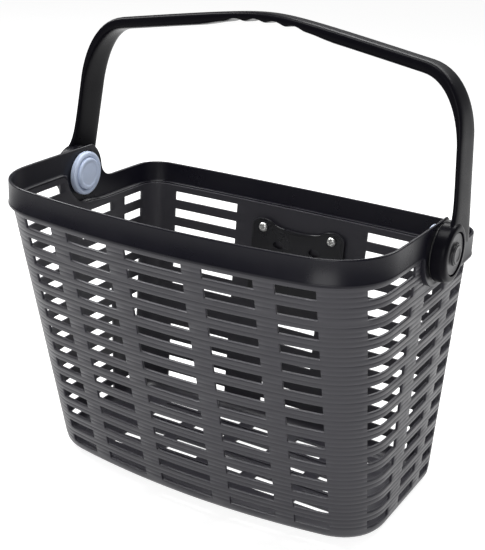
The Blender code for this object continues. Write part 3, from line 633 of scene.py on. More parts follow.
@dataclass
class Outline:
    """Right half of a plan outline: bowed front, round corner, side, round corner, bowed back."""

    width: float
    depth: float
    front_bow: float
    side_bow: float
    back_bow: float
    front_corner: float
    back_corner: float
    centre_y: float

    def __post_init__(self) -> None:
        """Works out where the straight stretches end."""
        self.corner_x = self.width / 2 - self.side_bow
        self.front_end = self.corner_x - self.front_corner
        self.back_end = self.corner_x - self.back_corner
        front_y = -(self.depth / 2 - self.front_bow)
        back_y = self.depth / 2 - self.back_bow
        self.side_start = front_y + self.front_corner
        self.side_stop = back_y - self.back_corner
        self.side_middle = (front_y + back_y) / 2
        self.side_reach = (back_y - front_y) / 2

    def front(self, x: float) -> Vector:
        """Point of the bowed front at x."""
        return Vector((x, -self.depth / 2 + self.front_bow * (x / self.corner_x) ** 2))

    def back(self, x: float) -> Vector:
        """Point of the bowed back at x."""
        return Vector((x, self.depth / 2 - self.back_bow * (x / self.corner_x) ** 2))

    def side(self, y: float) -> Vector:
        """Point of the bowed side at y, from the outline's middle."""
        share = (y - self.side_middle) / self.side_reach
        return Vector((self.width / 2 - self.side_bow * share**2, y))

    def side_way(self, y: float) -> Vector:
        """Direction of the side at y, towards the back."""
        slope = -2 * self.side_bow * (y - self.side_middle) / self.side_reach**2
        return Vector((slope, 1)).normalized()

    @staticmethod
    def _corner(share: float, start: Vector, start_way: Vector, stop: Vector, stop_way: Vector) -> Vector:
        """Point of a round corner between two ends with their directions."""
        reach = 0.5523 * (stop - start).length / math.sqrt(2)
        controls = (start, start + start_way * reach, stop - stop_way * reach, stop)
        left = 1 - share
        weights = (left**3, 3 * left**2 * share, 3 * left * share**2, share**3)
        return sum((c * w for c, w in zip(controls, weights)), Vector((0, 0)))

    def at(self, place: float) -> Vector:
        """Point of the outline at a parameter from 0, the front's middle, to 5, the back's middle."""
        section = Section(min(4, int(place)))
        share = place - section.value
        if section is Section.FRONT:
            point = self.front(share * self.front_end)
        elif section is Section.FRONT_CORNER:
            slope = 2 * self.front_bow * self.front_end / self.corner_x**2
            way = Vector((1, slope)).normalized()
            end = self.side(self.side_start)
            point = self._corner(share, self.front(self.front_end), way, end, self.side_way(self.side_start))
        elif section is Section.SIDE:
            point = self.side(self.side_start + share * (self.side_stop - self.side_start))
        elif section is Section.BACK_CORNER:
            slope = 2 * self.back_bow * self.back_end / self.corner_x**2
            way = Vector((-1, slope)).normalized()
            start = self.side(self.side_stop)
            point = self._corner(share, start, self.side_way(self.side_stop), self.back(self.back_end), way)
        else:
            point = self.back((1 - share) * self.back_end)
        return point + Vector((0, self.centre_y))

    def outward(self, place: float) -> Vector:
        """Unit normal of the outline at a parameter, pointing out."""
        step = 0.004
        low, high = max(0.0, place - step), min(5.0, place + step)
        way = self.at(high) - self.at(low)
        return Vector((way.y, -way.x)).normalized()

    def side_place(self, y: float) -> float:
        """Parameter of the side at y, from the outline's middle."""
        return 2 + (y - self.side_start) / (self.side_stop - self.side_start)

    def inset(self, by: float) -> "Outline":
        """The outline drawn in by a distance all round."""
        return Outline(
            self.width - 2 * by,
            self.depth - 2 * by,
            self.front_bow,
            self.side_bow,
            self.back_bow,
            self.front_corner - by,
            self.back_corner - by,
            self.centre_y,
        )


@dataclass
class Station:
    """An upright line of the wall: its places on rim and base, and the slots before it."""

    rim: float
    base: float
    column: str | None = None
    parts: int = 2


@dataclass
class BasketShape:
    """Sizes of the moulded body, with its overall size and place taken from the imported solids."""

    front_bow: float = 20 * MM
    side_bow: float = 3 * MM
    back_bow: float = 4 * MM
    front_corner: float = 47 * MM
    back_corner: float = 24 * MM
    base_width: float = 325 * MM
    base_depth: float = 172 * MM
    base_setback: float = 24 * MM
    base_front_bow: float = 19 * MM
    base_front_corner: float = 37 * MM
    base_radius: float = 11 * MM
    wall: float = 2.6 * MM
    band: float = 21.5 * MM
    step_out: float = 2.8 * MM
    pitch: float = 17.3 * MM
    slot_height: float = 8.4 * MM
    band_to_slot: float = 5 * MM
    rows_dropped: int = 2
    panel_rows: int = 6
    rows: int = 14
    tab_radius: float = 29 * MM
    ear_radius: float = 28 * MM

    def __post_init__(self) -> None:
        """Reads the overall box and the pivot's place from the solids and derives the rest."""
        low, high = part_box("basket_body")
        self.height = high.z
        self.centre_y = (low.y + high.y) / 2
        self.rim = Outline(
            high.x - low.x,
            high.y - low.y,
            self.front_bow,
            self.side_bow,
            self.back_bow,
            self.front_corner,
            self.back_corner,
            self.centre_y,
        )
        self.neck = self.rim.inset(self.step_out)
        self.base = Outline(
            self.base_width,
            self.base_depth,
            self.base_front_bow,
            0.0,
            self.back_bow,
            self.base_front_corner,
            self.back_corner - self.step_out,
            self.centre_y + self.base_setback,
        )
        ring_low, ring_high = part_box("pivot_bush_R")
        self.pivot = Vector((0, (ring_low.y + ring_high.y) / 2, (ring_low.z + ring_high.z) / 2))
        self.band_bottom = self.height - self.band
        self.drop = self.rows_dropped * self.pitch
        self.first_slot = self.band_bottom - self.band_to_slot
        self.split = self.first_slot - self.drop
        self.rim_half = self.rim.width / 2

    def offset_place(self, outline: Outline, offset: float) -> float:
        """Parameter of a side at a distance behind the pivot."""
        return outline.side_place(self.pivot.y + offset - outline.centre_y)

    def tilted_back(self) -> Matrix:
        """Frame of the back wall's panel: y out of the wall, z up it, at the middle of the panel's solid."""
        low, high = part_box("adapter_plate")
        depth = self.rim.depth / 2 - self.step_out
        foot = self.base_depth / 2 + self.base_setback
        tilt = math.atan((depth - foot) / self.band_bottom)
        z = self.height - self.drop - 33 * MM - 12.5 * MM + 4 * MM - 27.5 * MM
        y = self.centre_y + foot + (depth - foot) * z / self.band_bottom - self.wall / 2
        return Matrix.Translation((0, y, z)) @ Matrix.Rotation(-tilt, 4, "X")


# ------------------------------------------------------------------ the moulded body


@dataclass
class BasketWalls:
    """The slatted walls with their fine grooves, and the round edge down to the floor."""

    shape: BasketShape
    groove_depth: float = 0.38 * MM
    first_rows: dict[str, int] = field(
        default_factory=lambda: {"front": 0, "side front": 0, "side": 2, "back": 2, "back middle": 8}
    )

    def stations(self) -> list[Station]:
        """The upright lines of the right half at the slots' edges, front's middle first."""
        shape = self.shape

        def side(offset: float, base: float | None, column: str | None, parts: int) -> Station:
            """A line of the side at an offset, in millimetres, behind the pivot."""
            rim = shape.offset_place(shape.neck, offset * MM)
            return Station(rim, rim if base is None else base, column, parts)

        return [
            Station(0, 0),
            Station(0.208, 0.208, "front", 3),
            Station(0.344, 0.344),
            Station(0.68, 0.68, "front", 3),
            Station(0.812, 0.812),
            Station(1.10, 1.10, "front", 4),
            Station(1.62, 1.62, None, 6),
            Station(2.02, 2.02, "side front", 5),
            side(-38, 2.04, "side front", 3),
            side(-29.6, 2.10, None, 1),
            side(-12, 2.27, None, 2),
            side(0, 2.355, "side", 1),
            side(38, 2.61, "side", 3),
            side(60, 2.78, None, 2),
            Station(3.06, 3.02, "side", 3),
            Station(3.8, 3.8, None, 7),
            Station(4.055, 4.055, None, 2),
            Station(4.53, 4.53, "back", 4),
            Station(4.82, 4.82, None, 3),
            Station(5, 5, "back middle", 2),
        ]

    def lines(self) -> list[tuple[float, float, str | None]]:
        """All upright lines as (rim place, base place, column before it)."""
        marks = self.stations()
        out: list[tuple[float, float, str | None]] = [(0.0, 0.0, None)]
        for before, mark in zip(marks, marks[1:]):
            for part in range(1, mark.parts + 1):
                share = part / mark.parts
                rim = before.rim + (mark.rim - before.rim) * share
                base = before.base + (mark.base - before.base) * share
                out.append((rim, base, mark.column))
        return out

    def levels(self, low_row: int, high_row: int) -> list[tuple[float, float, int | None]]:
        """Heights from the lowest of these rows up, as (z, groove, row of the slot above it)."""
        shape = self.shape
        out: list[tuple[float, float, int | None]] = []
        slat = shape.pitch - shape.slot_height
        for row in range(low_row, high_row - 1, -1):
            bottom = shape.first_slot - row * shape.pitch - shape.slot_height
            middle, top = bottom + shape.slot_height / 2, bottom + shape.slot_height
            out += [(bottom, 0.85, row), (bottom + 0.8 * MM, 0.0, row), (middle - 0.5 * MM, 0.0, row)]
            out += [(middle, 0.85, row), (middle + 0.5 * MM, 0.0, row), (top - 0.8 * MM, 0.0, row)]
            groove = top + slat / 2
            out += [(top, 0.85, None), (top + 0.8 * MM, 0.0, None), (groove - 0.55 * MM, 0.0, None)]
            out += [(groove, 1.0, None), (groove + 0.55 * MM, 0.0, None)]
            if row > high_row:
                out.append((top + slat - 0.8 * MM, 0.0, None))
        return out

    def build(self, material: bpy.types.Material) -> bpy.types.Mesh:
        """Builds the walls.

        Args:
            material: the walls' finish.

        Returns:
            The closed mesh of both halves.
        """
        shape = self.shape
        bm = bmesh.new()
        groove = bm.verts.layers.float.new("groove")
        outward = bm.verts.layers.float_vector.new("outward")
        slot = bm.faces.layers.bool.new("slot")
        lines = self.lines()

        def add_point(rim: float, base: float, z: float, sunk: float, inset: float = 0.0):
            """Adds a wall point at height z between its places on base and rim."""
            share = z / shape.band_bottom
            foot_way = shape.base.outward(base)
            point = (shape.base.at(base) - foot_way * inset).lerp(shape.neck.at(rim), share)
            vert = bm.verts.new((point.x, point.y, z))
            way = foot_way.lerp(shape.neck.outward(rim), share)
            if rim in (0.0, 5.0):
                way.x = 0.0
            vert[groove] = sunk
            vert[outward] = Vector((way.x, way.y, 0)).normalized()
            return vert

        lower: list[tuple[float, float, int | None, float]] = [(0.0, 0.0, None, shape.base_radius + 8 * MM)]
        for step in range(6):
            angle = math.radians(15 * step)
            rise = shape.base_radius * (1 - math.cos(angle))
            lower.append((rise, 0.0, None, shape.base_radius * (1 - math.sin(angle))))
        lower += [(z, sunk, row, 0.0) for z, sunk, row in self.levels(shape.rows - 1, shape.rows_dropped)]
        columns = [[add_point(rim, base, z, sunk, inset) for z, sunk, _, inset in lower] for rim, base, _ in lines]

        def add_faces(low: list, high: list, column: str | None, rows: Sequence[int | None]) -> None:
            """Adds the faces between two neighbouring lines."""
            for level in range(len(rows) - 1):
                face = bm.faces.new((low[level], high[level], high[level + 1], low[level + 1]))
                row = rows[level]
                face[slot] = bool(column) and row is not None and row >= self.first_rows[column]

        for (low, high), (_, _, column) in zip(zip(columns, columns[1:]), lines[1:]):
            add_faces(low, high, column, [row for _, _, row, _ in lower])

        edge_start = shape.offset_place(shape.neck, -29.6 * MM)
        edge_stop = shape.offset_place(shape.neck, 0.0)
        upper = [(lower[-1][0] + 0.55 * MM, 0.0, None)]
        upper += self.levels(shape.rows_dropped - 1, 0)
        upper.append((shape.band_bottom + 1.2 * MM, 0.0, None))
        hidden = shape.tab_radius - 1.3 * MM
        above: list[list] = []
        for (rim, base, _), column in zip(lines, columns):
            if rim > edge_stop + 1e-6:
                break
            share = max(0.0, (rim - edge_start) / (edge_stop - edge_start))
            line = [column[-1]]
            for z, sunk, _ in upper:
                reach = hidden**2 - (z - shape.pivot.z) ** 2
                offset = -math.sqrt(reach) if reach > 0 and z > shape.pivot.z - hidden else 0.0
                if z > shape.pivot.z:
                    offset = -hidden
                stop = shape.offset_place(shape.neck, offset)
                place = rim if share <= 0 else edge_start + (stop - edge_start) * share
                line.append(add_point(place, base, z, sunk))
            above.append(line)
        rows = [None] + [row for _, _, row in upper]
        for low, high, (_, _, column) in zip(above, above[1:], lines[1:]):
            add_faces(low, high, column, rows)
        cover = [c for c, (rim, _, _) in zip(columns, lines) if rim > edge_stop - 1e-6]
        places = [(rim, base) for rim, base, _ in lines if rim > edge_stop - 1e-6]
        capped = []
        for column, (rim, base) in zip(cover, places):
            offset = (rim - edge_stop) / (shape.offset_place(shape.neck, 29 * MM) - edge_stop)
            ease = min(1.0, max(0.0, offset))
            tab = shape.pivot.z - shape.tab_radius
            low = shape.band_bottom - shape.drop
            top = tab + (low - tab) * (3 * ease**2 - 2 * ease**3) + 1.2 * MM
            if ease == 0.0:
                top = tab + 1.3 * MM
            capped.append((column[-1], add_point(rim, base, top, 0.0)))
        first_top = next(v for v in above[-1][1:] if v.co.z > shape.pivot.z - shape.tab_radius + 1.25 * MM)
        index = above[-1].index(first_top)
        for (low_a, high_a), (low_b, high_b) in zip(capped, capped[1:]):
            if low_a is above[-1][0]:
                bm.verts.remove(high_a)
                high_a = above[-1][index - 1]
                side = above[-1][: index]
                bm.faces.new([low_b, high_b, *reversed(side)])
                continue
            bm.faces.new((low_a, low_b, high_b, high_a))
        wall = scratch_from_bmesh("walls", bm)
        wall.vertex_groups.new(name="inner")
        open_slots_tree(material).put_on(wall)
        mirror = wall.modifiers.new("left half", "MIRROR")
        mirror.merge_threshold = 0.02 * MM
        shell = wall.modifiers.new("thickness", "SOLIDIFY")
        shell.thickness = shape.wall
        shell.offset = -1
        shell.use_even_offset = True
        shell.thickness_clamp = 0
        shell.shell_vertex_group = "inner"
        fine_groove_tree(material, self.groove_depth).put_on(wall)
        add_bevel(wall, 0.42 * MM, 2, 62)
        return applied(wall)


@dataclass
class RimBand:
    """The smooth band round the mouth, with its lip, its ears at the pivots and its lower back."""

    shape: BasketShape
    lip: float = 0.55 * MM
    round_top: float = 1.25 * MM
    zone: tuple[float, float] = (-44 * MM, 50 * MM)
    bore: float = 36.2 * MM

    def lower_edge(self) -> list[Vector]:
        """Lower edge of the band round the pivot, as (distance behind the pivot, z)."""
        shape = self.shape
        radius, turn = shape.tab_radius, 5 * MM
        z = shape.pivot.z
        points = [Vector((self.zone[0], shape.band_bottom))]
        middle = Vector((-radius - turn, shape.band_bottom - turn))
        for step in range(7):
            angle = math.radians(90 - 90 * step / 6)
            points.append(middle + turn * Vector((math.cos(angle), math.sin(angle))))
        for step in range(1, 19):
            angle = math.radians(185 + 85 * step / 18)
            points.append(Vector((radius * math.cos(angle), z + radius * math.sin(angle))))
        low = shape.band_bottom - shape.drop
        tab = z - radius
        for step in range(1, 9):
            ease = step / 8
            points.append(Vector((radius * ease, tab + (low - tab) * (3 * ease**2 - 2 * ease**3))))
        points.append(Vector((self.zone[1], low)))
        return points

    def upper_edge(self) -> list[Vector]:
        """Upper edge of the band round the pivot."""
        shape = self.shape
        radius = shape.ear_radius
        z = shape.pivot.z
        top = shape.height
        low = top - shape.drop
        start = math.asin((top - z) / radius)
        points = [Vector((self.zone[0], top)), Vector((0.6 * radius * math.cos(start), top))]
        for step in range(13):
            angle = start - (start - 0.12) * step / 12
            points.append(Vector((radius * math.cos(angle), z + radius * math.sin(angle))))
        turn = 15 * MM
        middle = Vector((points[-1].x + turn, low + turn))
        for step in range(9):
            angle = math.radians(180 + 90 * step / 8)
            points.append(middle + turn * Vector((math.cos(angle), math.sin(angle))))
        points.append(Vector((max(self.zone[1], middle.x + 4 * MM), low)))
        return points

    @staticmethod
    def resample(points: Sequence[Vector], count: int) -> list[tuple[Vector, Vector]]:
        """Spreads points evenly along a line.

        Args:
            points: the line's own points.
            count: how many points come back.

        Returns:
            Each point with the line's unit normal to its left.
        """
        lengths = [0.0]
        for a, b in zip(points, points[1:]):
            lengths.append(lengths[-1] + (b - a).length)
        out: list[Vector] = []
        for i in range(count):
            target = lengths[-1] * i / (count - 1)
            k = max(j for j in range(len(points) - 1) if lengths[j] <= target + 1e-12)
            share = (target - lengths[k]) / max(1e-9, lengths[k + 1] - lengths[k])
            out.append(points[k].lerp(points[k + 1], min(1.0, share)))
        result = []
        for i, point in enumerate(out):
            way = (out[min(i + 1, count - 1)] - out[max(i - 1, 0)]).normalized()
            if i in (0, count - 1):
                way = Vector((1, 0))
            result.append((point, Vector((-way.y, way.x))))
        return result

    def section(self) -> list[tuple[float, float, float]]:
        """The band's section as (reach out of the outline, distance from lower edge, from upper edge)."""
        r, lip, wall = self.round_top, self.lip, self.shape.wall
        inner = -self.shape.step_out - wall - 0.12 * MM
        span = 1.0
        low = [
            (inner, 0.5 * MM),
            (inner + 0.4 * MM, 0.1 * MM),
            (-0.5 * MM, 0.0),
            (lip * 0.7, 0.25 * MM),
            (lip, 0.9 * MM),
            (lip, 1.9 * MM),
            (lip * 0.55, 2.6 * MM),
            (0.0, 3.0 * MM),
        ]
        out = [(reach, rise, -span) for reach, rise in low]
        for step in range(6):
            angle = math.radians(90 * step / 5)
            out.append((-r + r * math.cos(angle), -span, r - r * math.sin(angle)))
        for step in range(6):
            angle = math.radians(90 + 90 * step / 5)
            out.append((-wall + r + r * math.cos(angle), -span, r - r * math.sin(angle)))
        out += [
            (-wall, wall + 1.4 * MM, -span),
            (-wall - 0.35 * MM, wall + 0.35 * MM, -span),
            (-wall - 1.2 * MM, wall, -span),
            (inner + 0.5 * MM, wall, -span),
            (inner, wall - 0.4 * MM, -span),
        ]
        return out

    def rings(self) -> list[list[Vector]]:
        """The band's section at each station of the right half, front's middle first."""
        shape = self.shape
        count = 64
        low_edge = self.resample(self.lower_edge(), count)
        top_edge = self.resample(self.upper_edge(), count)
        up = Vector((0, 1))
        stations: list[tuple] = []
        zone_start = shape.offset_place(shape.rim, self.zone[0])
        zone_stop = shape.offset_place(shape.rim, top_edge[-1][0].x)
        before = [i / 12 for i in range(13)] + [1 + i / 14 for i in range(1, 15)]
        before += [2 + (zone_start - 2) * i / 4 for i in range(1, 4)]
        stations += [(place, shape.band_bottom, shape.height) for place in before]
        stations += list(zip(low_edge, top_edge))
        low, top = shape.band_bottom - shape.drop, shape.height - shape.drop
        after = [zone_stop + (3 - zone_stop) * i / 4 for i in range(1, 5)]
        after += [3 + i / 12 for i in range(1, 13)] + [4 + i / 10 for i in range(1, 11)]
        stations += [(place, low, top) for place in after]
        rings: list[list[Vector]] = []
        for station in stations:
            ring = []
            for reach, rise, fall in self.section():
                if len(station) == 3:
                    place, bottom, height = station
                    out = shape.rim.outward(place)
                    if place in (0.0, 5.0):
                        out.x = 0.0
                    z = height - fall if rise < 0 else bottom + rise
                    point = shape.rim.at(place) + out * reach
                else:
                    (low_point, low_way), (top_point, top_way) = station
                    spot = top_point - top_way * fall if rise < 0 else low_point + low_way * rise
                    side = shape.rim.side(shape.pivot.y + spot.x - shape.centre_y)
                    side += Vector((0, shape.centre_y))
                    way = shape.rim.side_way(side.y - shape.centre_y)
                    point = side + Vector((way.y, -way.x)) * reach
                    z = spot.dot(up)
                ring.append(Vector((point.x, point.y, z)))
            rings.append(ring)
        return rings

    def build(self) -> bpy.types.Mesh:
        """Builds the band with the bores for the pivot bushes."""
        half = self.rings()
        other = [[Vector((-p.x, p.y, p.z)) for p in ring] for ring in reversed(half[1:-1])]
        band = scratch_from_bmesh("band", loft(half + other, closed_path=True))
        drill = bmesh.new()
        bmesh.ops.create_cone(
            drill,
            cap_ends=True,
            segments=96,
            radius1=self.bore / 2,
            radius2=self.bore / 2,
            depth=self.shape.rim.width * 1.3,
        )
        cutter = scratch_from_bmesh("bores", drill)
        cutter.matrix_world = Matrix.Translation(self.shape.pivot) @ Matrix.Rotation(math.pi / 2, 4, "Y")
        add_boolean(band, cutter, "DIFFERENCE")
        mesh = applied(band)
        bpy.data.objects.remove(cutter)
        return mesh


@dataclass
class BasketFloor:
    """The floor with its drain slots and the ribs across it."""

    shape: BasketShape
    slot: tuple[float, float] = (34 * MM, 7 * MM)
    pitch: tuple[float, float] = (48 * MM, 16 * MM)
    rib: tuple[float, float] = (1.6 * MM, 1.3 * MM)

    def grid(self) -> list[Vector]:
        """Middle of each slot."""
        shape = self.shape
        margin = shape.base_radius + 12 * MM
        across = int((shape.base_width - 2 * shape.base_front_corner) / self.pitch[0] / 2)
        along = int((shape.base_depth - shape.base_front_bow - 2 * margin) / self.pitch[1] / 2)
        middle = shape.centre_y + shape.base_setback + shape.base_front_bow / 2
        spots = []
        for i in range(-across, across + 1):
            for j in range(-along, along + 1):
                spots.append(Vector((i * self.pitch[0], middle + j * self.pitch[1], 0)))
        return spots

    def slab(self) -> bpy.types.Object:
        """The floor's slab, without slots."""
        shape = self.shape
        half = []
        for i in range(61):
            place = 5 * i / 60
            point = shape.base.at(place) - shape.base.outward(place) * (shape.base_radius + 3 * MM)
            half.append(Vector((0.0 if i in (0, 60) else point.x, point.y)))
        loop = half + [Vector((-p.x, p.y)) for p in reversed(half[1:-1])]
        low, high = 0.4 * MM, 0.4 * MM + shape.wall
        rings = [[Vector((p.x, p.y, z)) for p in loop] for z in (low, high)]
        return scratch_from_bmesh("floor", loft(rings, closed_path=False))

    def build(self, material: bpy.types.Material) -> bpy.types.Mesh:
        """Builds the floor.

        Args:
            material: the floor's finish.

        Returns:
            The mesh of the slab with its slots and ribs.
        """
        cutter = bmesh.new()
        bmesh.ops.create_cube(cutter, size=1)
        bmesh.ops.scale(cutter, vec=(*self.slot, 12 * MM), verts=cutter.verts)
        block = bpy.data.meshes.new("slot block")
        cutter.to_mesh(block)
        cutter.free()
        holes = repeated("floor slots", block, self.grid(), material, Matrix.Identity(4))
        hole_object = scratch_object("floor slot cutters", holes)
        floor = self.slab()
        add_boolean(floor, hole_object, "DIFFERENCE")
        add_bevel(floor, 0.5 * MM, 2, 50)
        mesh = applied(floor)
        bpy.data.objects.remove(hole_object)
        return mesh

    def ribs(self, material: bpy.types.Material) -> bpy.types.Mesh:
        """Builds the low ribs that run along X between the slots."""
        shape = self.shape
        rows = sorted({round(p.y, 6) for p in self.grid()})
        reach = max(p.x for p in self.grid()) + self.slot[0] / 2
        bm = bmesh.new()
        bmesh.ops.create_cube(bm, size=1)
        bmesh.ops.scale(bm, vec=(2 * reach, self.rib[0], self.rib[1] * 2), verts=bm.verts)
        item = scratch_from_bmesh("floor rib", bm)
        add_bevel(item, 0.5 * MM, 2)
        bar = applied(item)
        gap = self.pitch[1] / 2
        top = 0.4 * MM + shape.wall
        places = [Vector((0, y + gap, top)) for y in rows[:-1]]
        return repeated("floor ribs", bar, places, material, Matrix.Identity(4))


# ------------------------------------------------------------------ back panel, plates and fastenings


@dataclass
class BackFittings:
    """Panel of the back wall, backing plate inside it, adapter plate outside and their screws."""

    shape: BasketShape
    panel: tuple[float, float, float] = (112 * MM, 4.4 * MM, 88 * MM)
    plate_width: float = 98 * MM
    plate_height: float = 80 * MM
    plate_thickness: float = 3.2 * MM
    lobe: float = 12.5 * MM
    spacing: tuple[float, float] = (72 * MM, 55 * MM)
    gap: float = 0.3 * MM
    head: float = 4.5 * MM
    shank: float = 2.5 * MM

    def __post_init__(self) -> None:
        """Finds the panel's own frame."""
        self.frame = self.shape.tilted_back()

    def screw_places(self) -> list[tuple[float, float]]:
        """(x, z) of the four screws in the panel's frame, upper left first."""
        half_x, half_z = self.spacing[0] / 2, self.spacing[1] / 2
        return [(sx * half_x, sz * half_z) for sz in (1, -1) for sx in (-1, 1)]

    def build_panel(self) -> bpy.types.Mesh:
        """Builds the solid panel that the wall has behind the plates."""
        width, depth, height = self.panel
        inside = self.shape.wall / 2 - 0.1 * MM
        bm = bmesh.new()
        bmesh.ops.create_cube(bm, size=1)
        bmesh.ops.scale(bm, vec=(width, depth / 2 + inside, height), verts=bm.verts)
        bmesh.ops.translate(bm, vec=(0, (depth / 2 - inside) / 2, 0), verts=bm.verts)
        panel = scratch_from_bmesh("panel", bm)
        add_bevel(panel, 1.0 * MM, 3)
        return applied(panel, self.frame)

    def plate_outline(self) -> list[Vector]:
        """Outline of the backing plate: a round lobe at each upper screw and a dip between them."""
        half_x, top = self.spacing[0] / 2, self.spacing[1] / 2
        side = self.plate_width / 2
        rise = self.lobe - 4 * MM
        low = top + rise - self.plate_height
        foot = 8 * MM
        half = []
        for step in range(7):
            angle = math.radians(270 + 90 * step / 6)
            half.append(Vector((side - foot + foot * math.cos(angle), low + foot + foot * math.sin(angle))))
        for step in range(15):
            angle = math.radians(150 * step / 14)
            half.append(Vector((half_x + (side - half_x) * math.cos(angle), top + rise * math.sin(angle))))
        start = half[-1]
        dip = Vector((0, top + 1.2 * MM))
        for step in range(1, 9):
            share = step / 8
            ease = 1 - (1 - share) ** 2.4
            half.append(Vector((start.x * (1 - share), start.y + (dip.y - start.y) * ease)))
        return half[:-1] + [Vector((-p.x, p.y)) for p in reversed(half[:-1])]

    def build_backing(self) -> bpy.types.Mesh:
        """Builds the backing plate with its raised border and two windows."""
        outline = self.plate_outline()
        face = -(self.panel[1] / 2 + self.gap)
        front = face - self.plate_thickness
        centre = Vector((0, sum(p.y for p in outline) / len(outline)))

        def ring(inset: float, y: float) -> list[Vector]:
            """The outline drawn in towards its middle, at depth y."""
            out = []
            for p in outline:
                way = (centre - p).normalized()
                spot = p + way * inset
                out.append(Vector((spot.x, y, spot.y)))
            return out

        rings = [
            ring(0.6 * MM, face),
            ring(0.0, face - 0.6 * MM),
            ring(0.0, front + 0.9 * MM),
            ring(0.3 * MM, front + 0.25 * MM),
            ring(0.9 * MM, front),
            ring(2.2 * MM, front),
            ring(2.8 * MM, front + 0.55 * MM),
        ]
        plate = scratch_from_bmesh("backing", loft(rings, closed_path=False))
        cutter = bmesh.new()
        for sign in (-1, 1):
            made = bmesh.ops.create_cone(
                cutter, cap_ends=True, segments=32, radius1=4.6 * MM, radius2=4.6 * MM, depth=40 * MM
            )["verts"]
            bmesh.ops.rotate(cutter, verts=made, matrix=Matrix.Rotation(math.pi / 2, 3, "X"))
            bmesh.ops.scale(cutter, verts=made, vec=(1.25, 1, 0.85))
            place = (sign * 19 * MM, 0, self.spacing[1] / 2 - 15 * MM)
            bmesh.ops.translate(cutter, verts=made, vec=place)
        windows = scratch_from_bmesh("windows", cutter)
        add_boolean(plate, windows, "DIFFERENCE")
        mesh = applied(plate, self.frame)
        bpy.data.objects.remove(windows)
        return mesh

    def screw_mesh(self) -> bpy.types.Mesh:
        """Pan head with a cross recess and its shank, along +Z with the head's underside at 0."""
        radius = self.head
        top = 3.0 * MM
        profile = rounded(
            [
                (0, -13.9 * MM, 0),
                (self.shank - 0.5 * MM, -13.9 * MM, 0),
                (self.shank, -13.3 * MM, 0),
                (self.shank, 0, 0),
                (radius, 0, 0.2 * MM),
                (radius, 1.3 * MM, 0.6 * MM),
                (radius * 0.66, top * 0.93, 0.8 * MM),
                (0, top, 0),
            ],
            3,
        )
        screw = scratch_object("screw", turned_mesh("screw", profile, 48))
        cutter = bmesh.new()
        for turn in (0.0, math.pi / 2):
            made = bmesh.ops.create_cube(cutter, size=1)["verts"]
            bmesh.ops.scale(cutter, verts=made, vec=(5.2 * MM, 1.1 * MM, 3.6 * MM))
            bmesh.ops.rotate(cutter, verts=made, matrix=Matrix.Rotation(turn, 3, "Z"))
            bmesh.ops.translate(cutter, verts=made, vec=(0, 0, top + 0.1 * MM))
        cross = scratch_from_bmesh("cross", cutter)
        add_boolean(screw, cross, "DIFFERENCE")
        mesh = applied(screw)
        bpy.data.objects.remove(cross)
        return mesh

    def nut_mesh(self) -> bpy.types.Mesh:
        """Hexagon nut with chamfered corners, along +Z from 0."""
        bm = bmesh.new()
        radius = 8 * MM / math.sqrt(3)
        bmesh.ops.create_cone(bm, cap_ends=True, segments=6, radius1=radius, radius2=radius, depth=4 * MM)
        bmesh.ops.translate(bm, verts=bm.verts, vec=(0, 0, 2 * MM))
        nut = scratch_from_bmesh("nut", bm)
        add_bevel(nut, 0.4 * MM, 2)
        drill = bmesh.new()
        bmesh.ops.create_cone(
            drill, cap_ends=True, segments=32, radius1=2.7 * MM, radius2=2.7 * MM, depth=20 * MM
        )
        hole = scratch_from_bmesh("nut hole", drill)
        add_boolean(nut, hole, "DIFFERENCE")
        mesh = applied(nut)
        bpy.data.objects.remove(hole)
        return mesh

    def build_screws(self, material: bpy.types.Material) -> bpy.types.Mesh:
        """Builds the four screws, heads inside the basket."""
        head_y = self.panel[1] / 2 + 2 * self.gap + self.plate_thickness
        places = [Vector((x, -z, head_y)) for x, z in self.screw_places()]
        turn = self.frame @ Matrix.Rotation(math.pi / 2, 4, "X")
        item = self.screw_mesh()
        flipped = [Vector((p.x, -p.y, p.z)) for p in places]
        return repeated("adapter screws", item, flipped, material, turn)

    def build_nuts(self, material: bpy.types.Material) -> bpy.types.Mesh:
        """Builds the four nuts behind the adapter plate."""
        depth = self.panel[1] / 2 + 2 * self.gap + 5 * MM
        places = [Vector((x, -z, depth)) for x, z in self.screw_places()]
        turn = self.frame @ Matrix.Rotation(-math.pi / 2, 4, "X")
        return repeated("adapter nuts", self.nut_mesh(), places, material, turn)

    def build_adapter(self, node: bpy.types.Object) -> bpy.types.Mesh:
        """Rounds the edges of the adapter plate's solid.

        Args:
            node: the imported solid.

        Returns:
            A mesh with the same faces and soft edges.
        """
        bm = bmesh.new()
        bm.from_mesh(node.data)
        bmesh.ops.remove_doubles(bm, verts=bm.verts, dist=0.01 * MM)
        bmesh.ops.dissolve_limit(bm, angle_limit=math.radians(2), verts=bm.verts, edges=bm.edges)
        plate = scratch_from_bmesh("adapter", bm)
        add_bevel(plate, 0.7 * MM, 3, 50)
        return applied(plate)


# ------------------------------------------------------------------ pivots


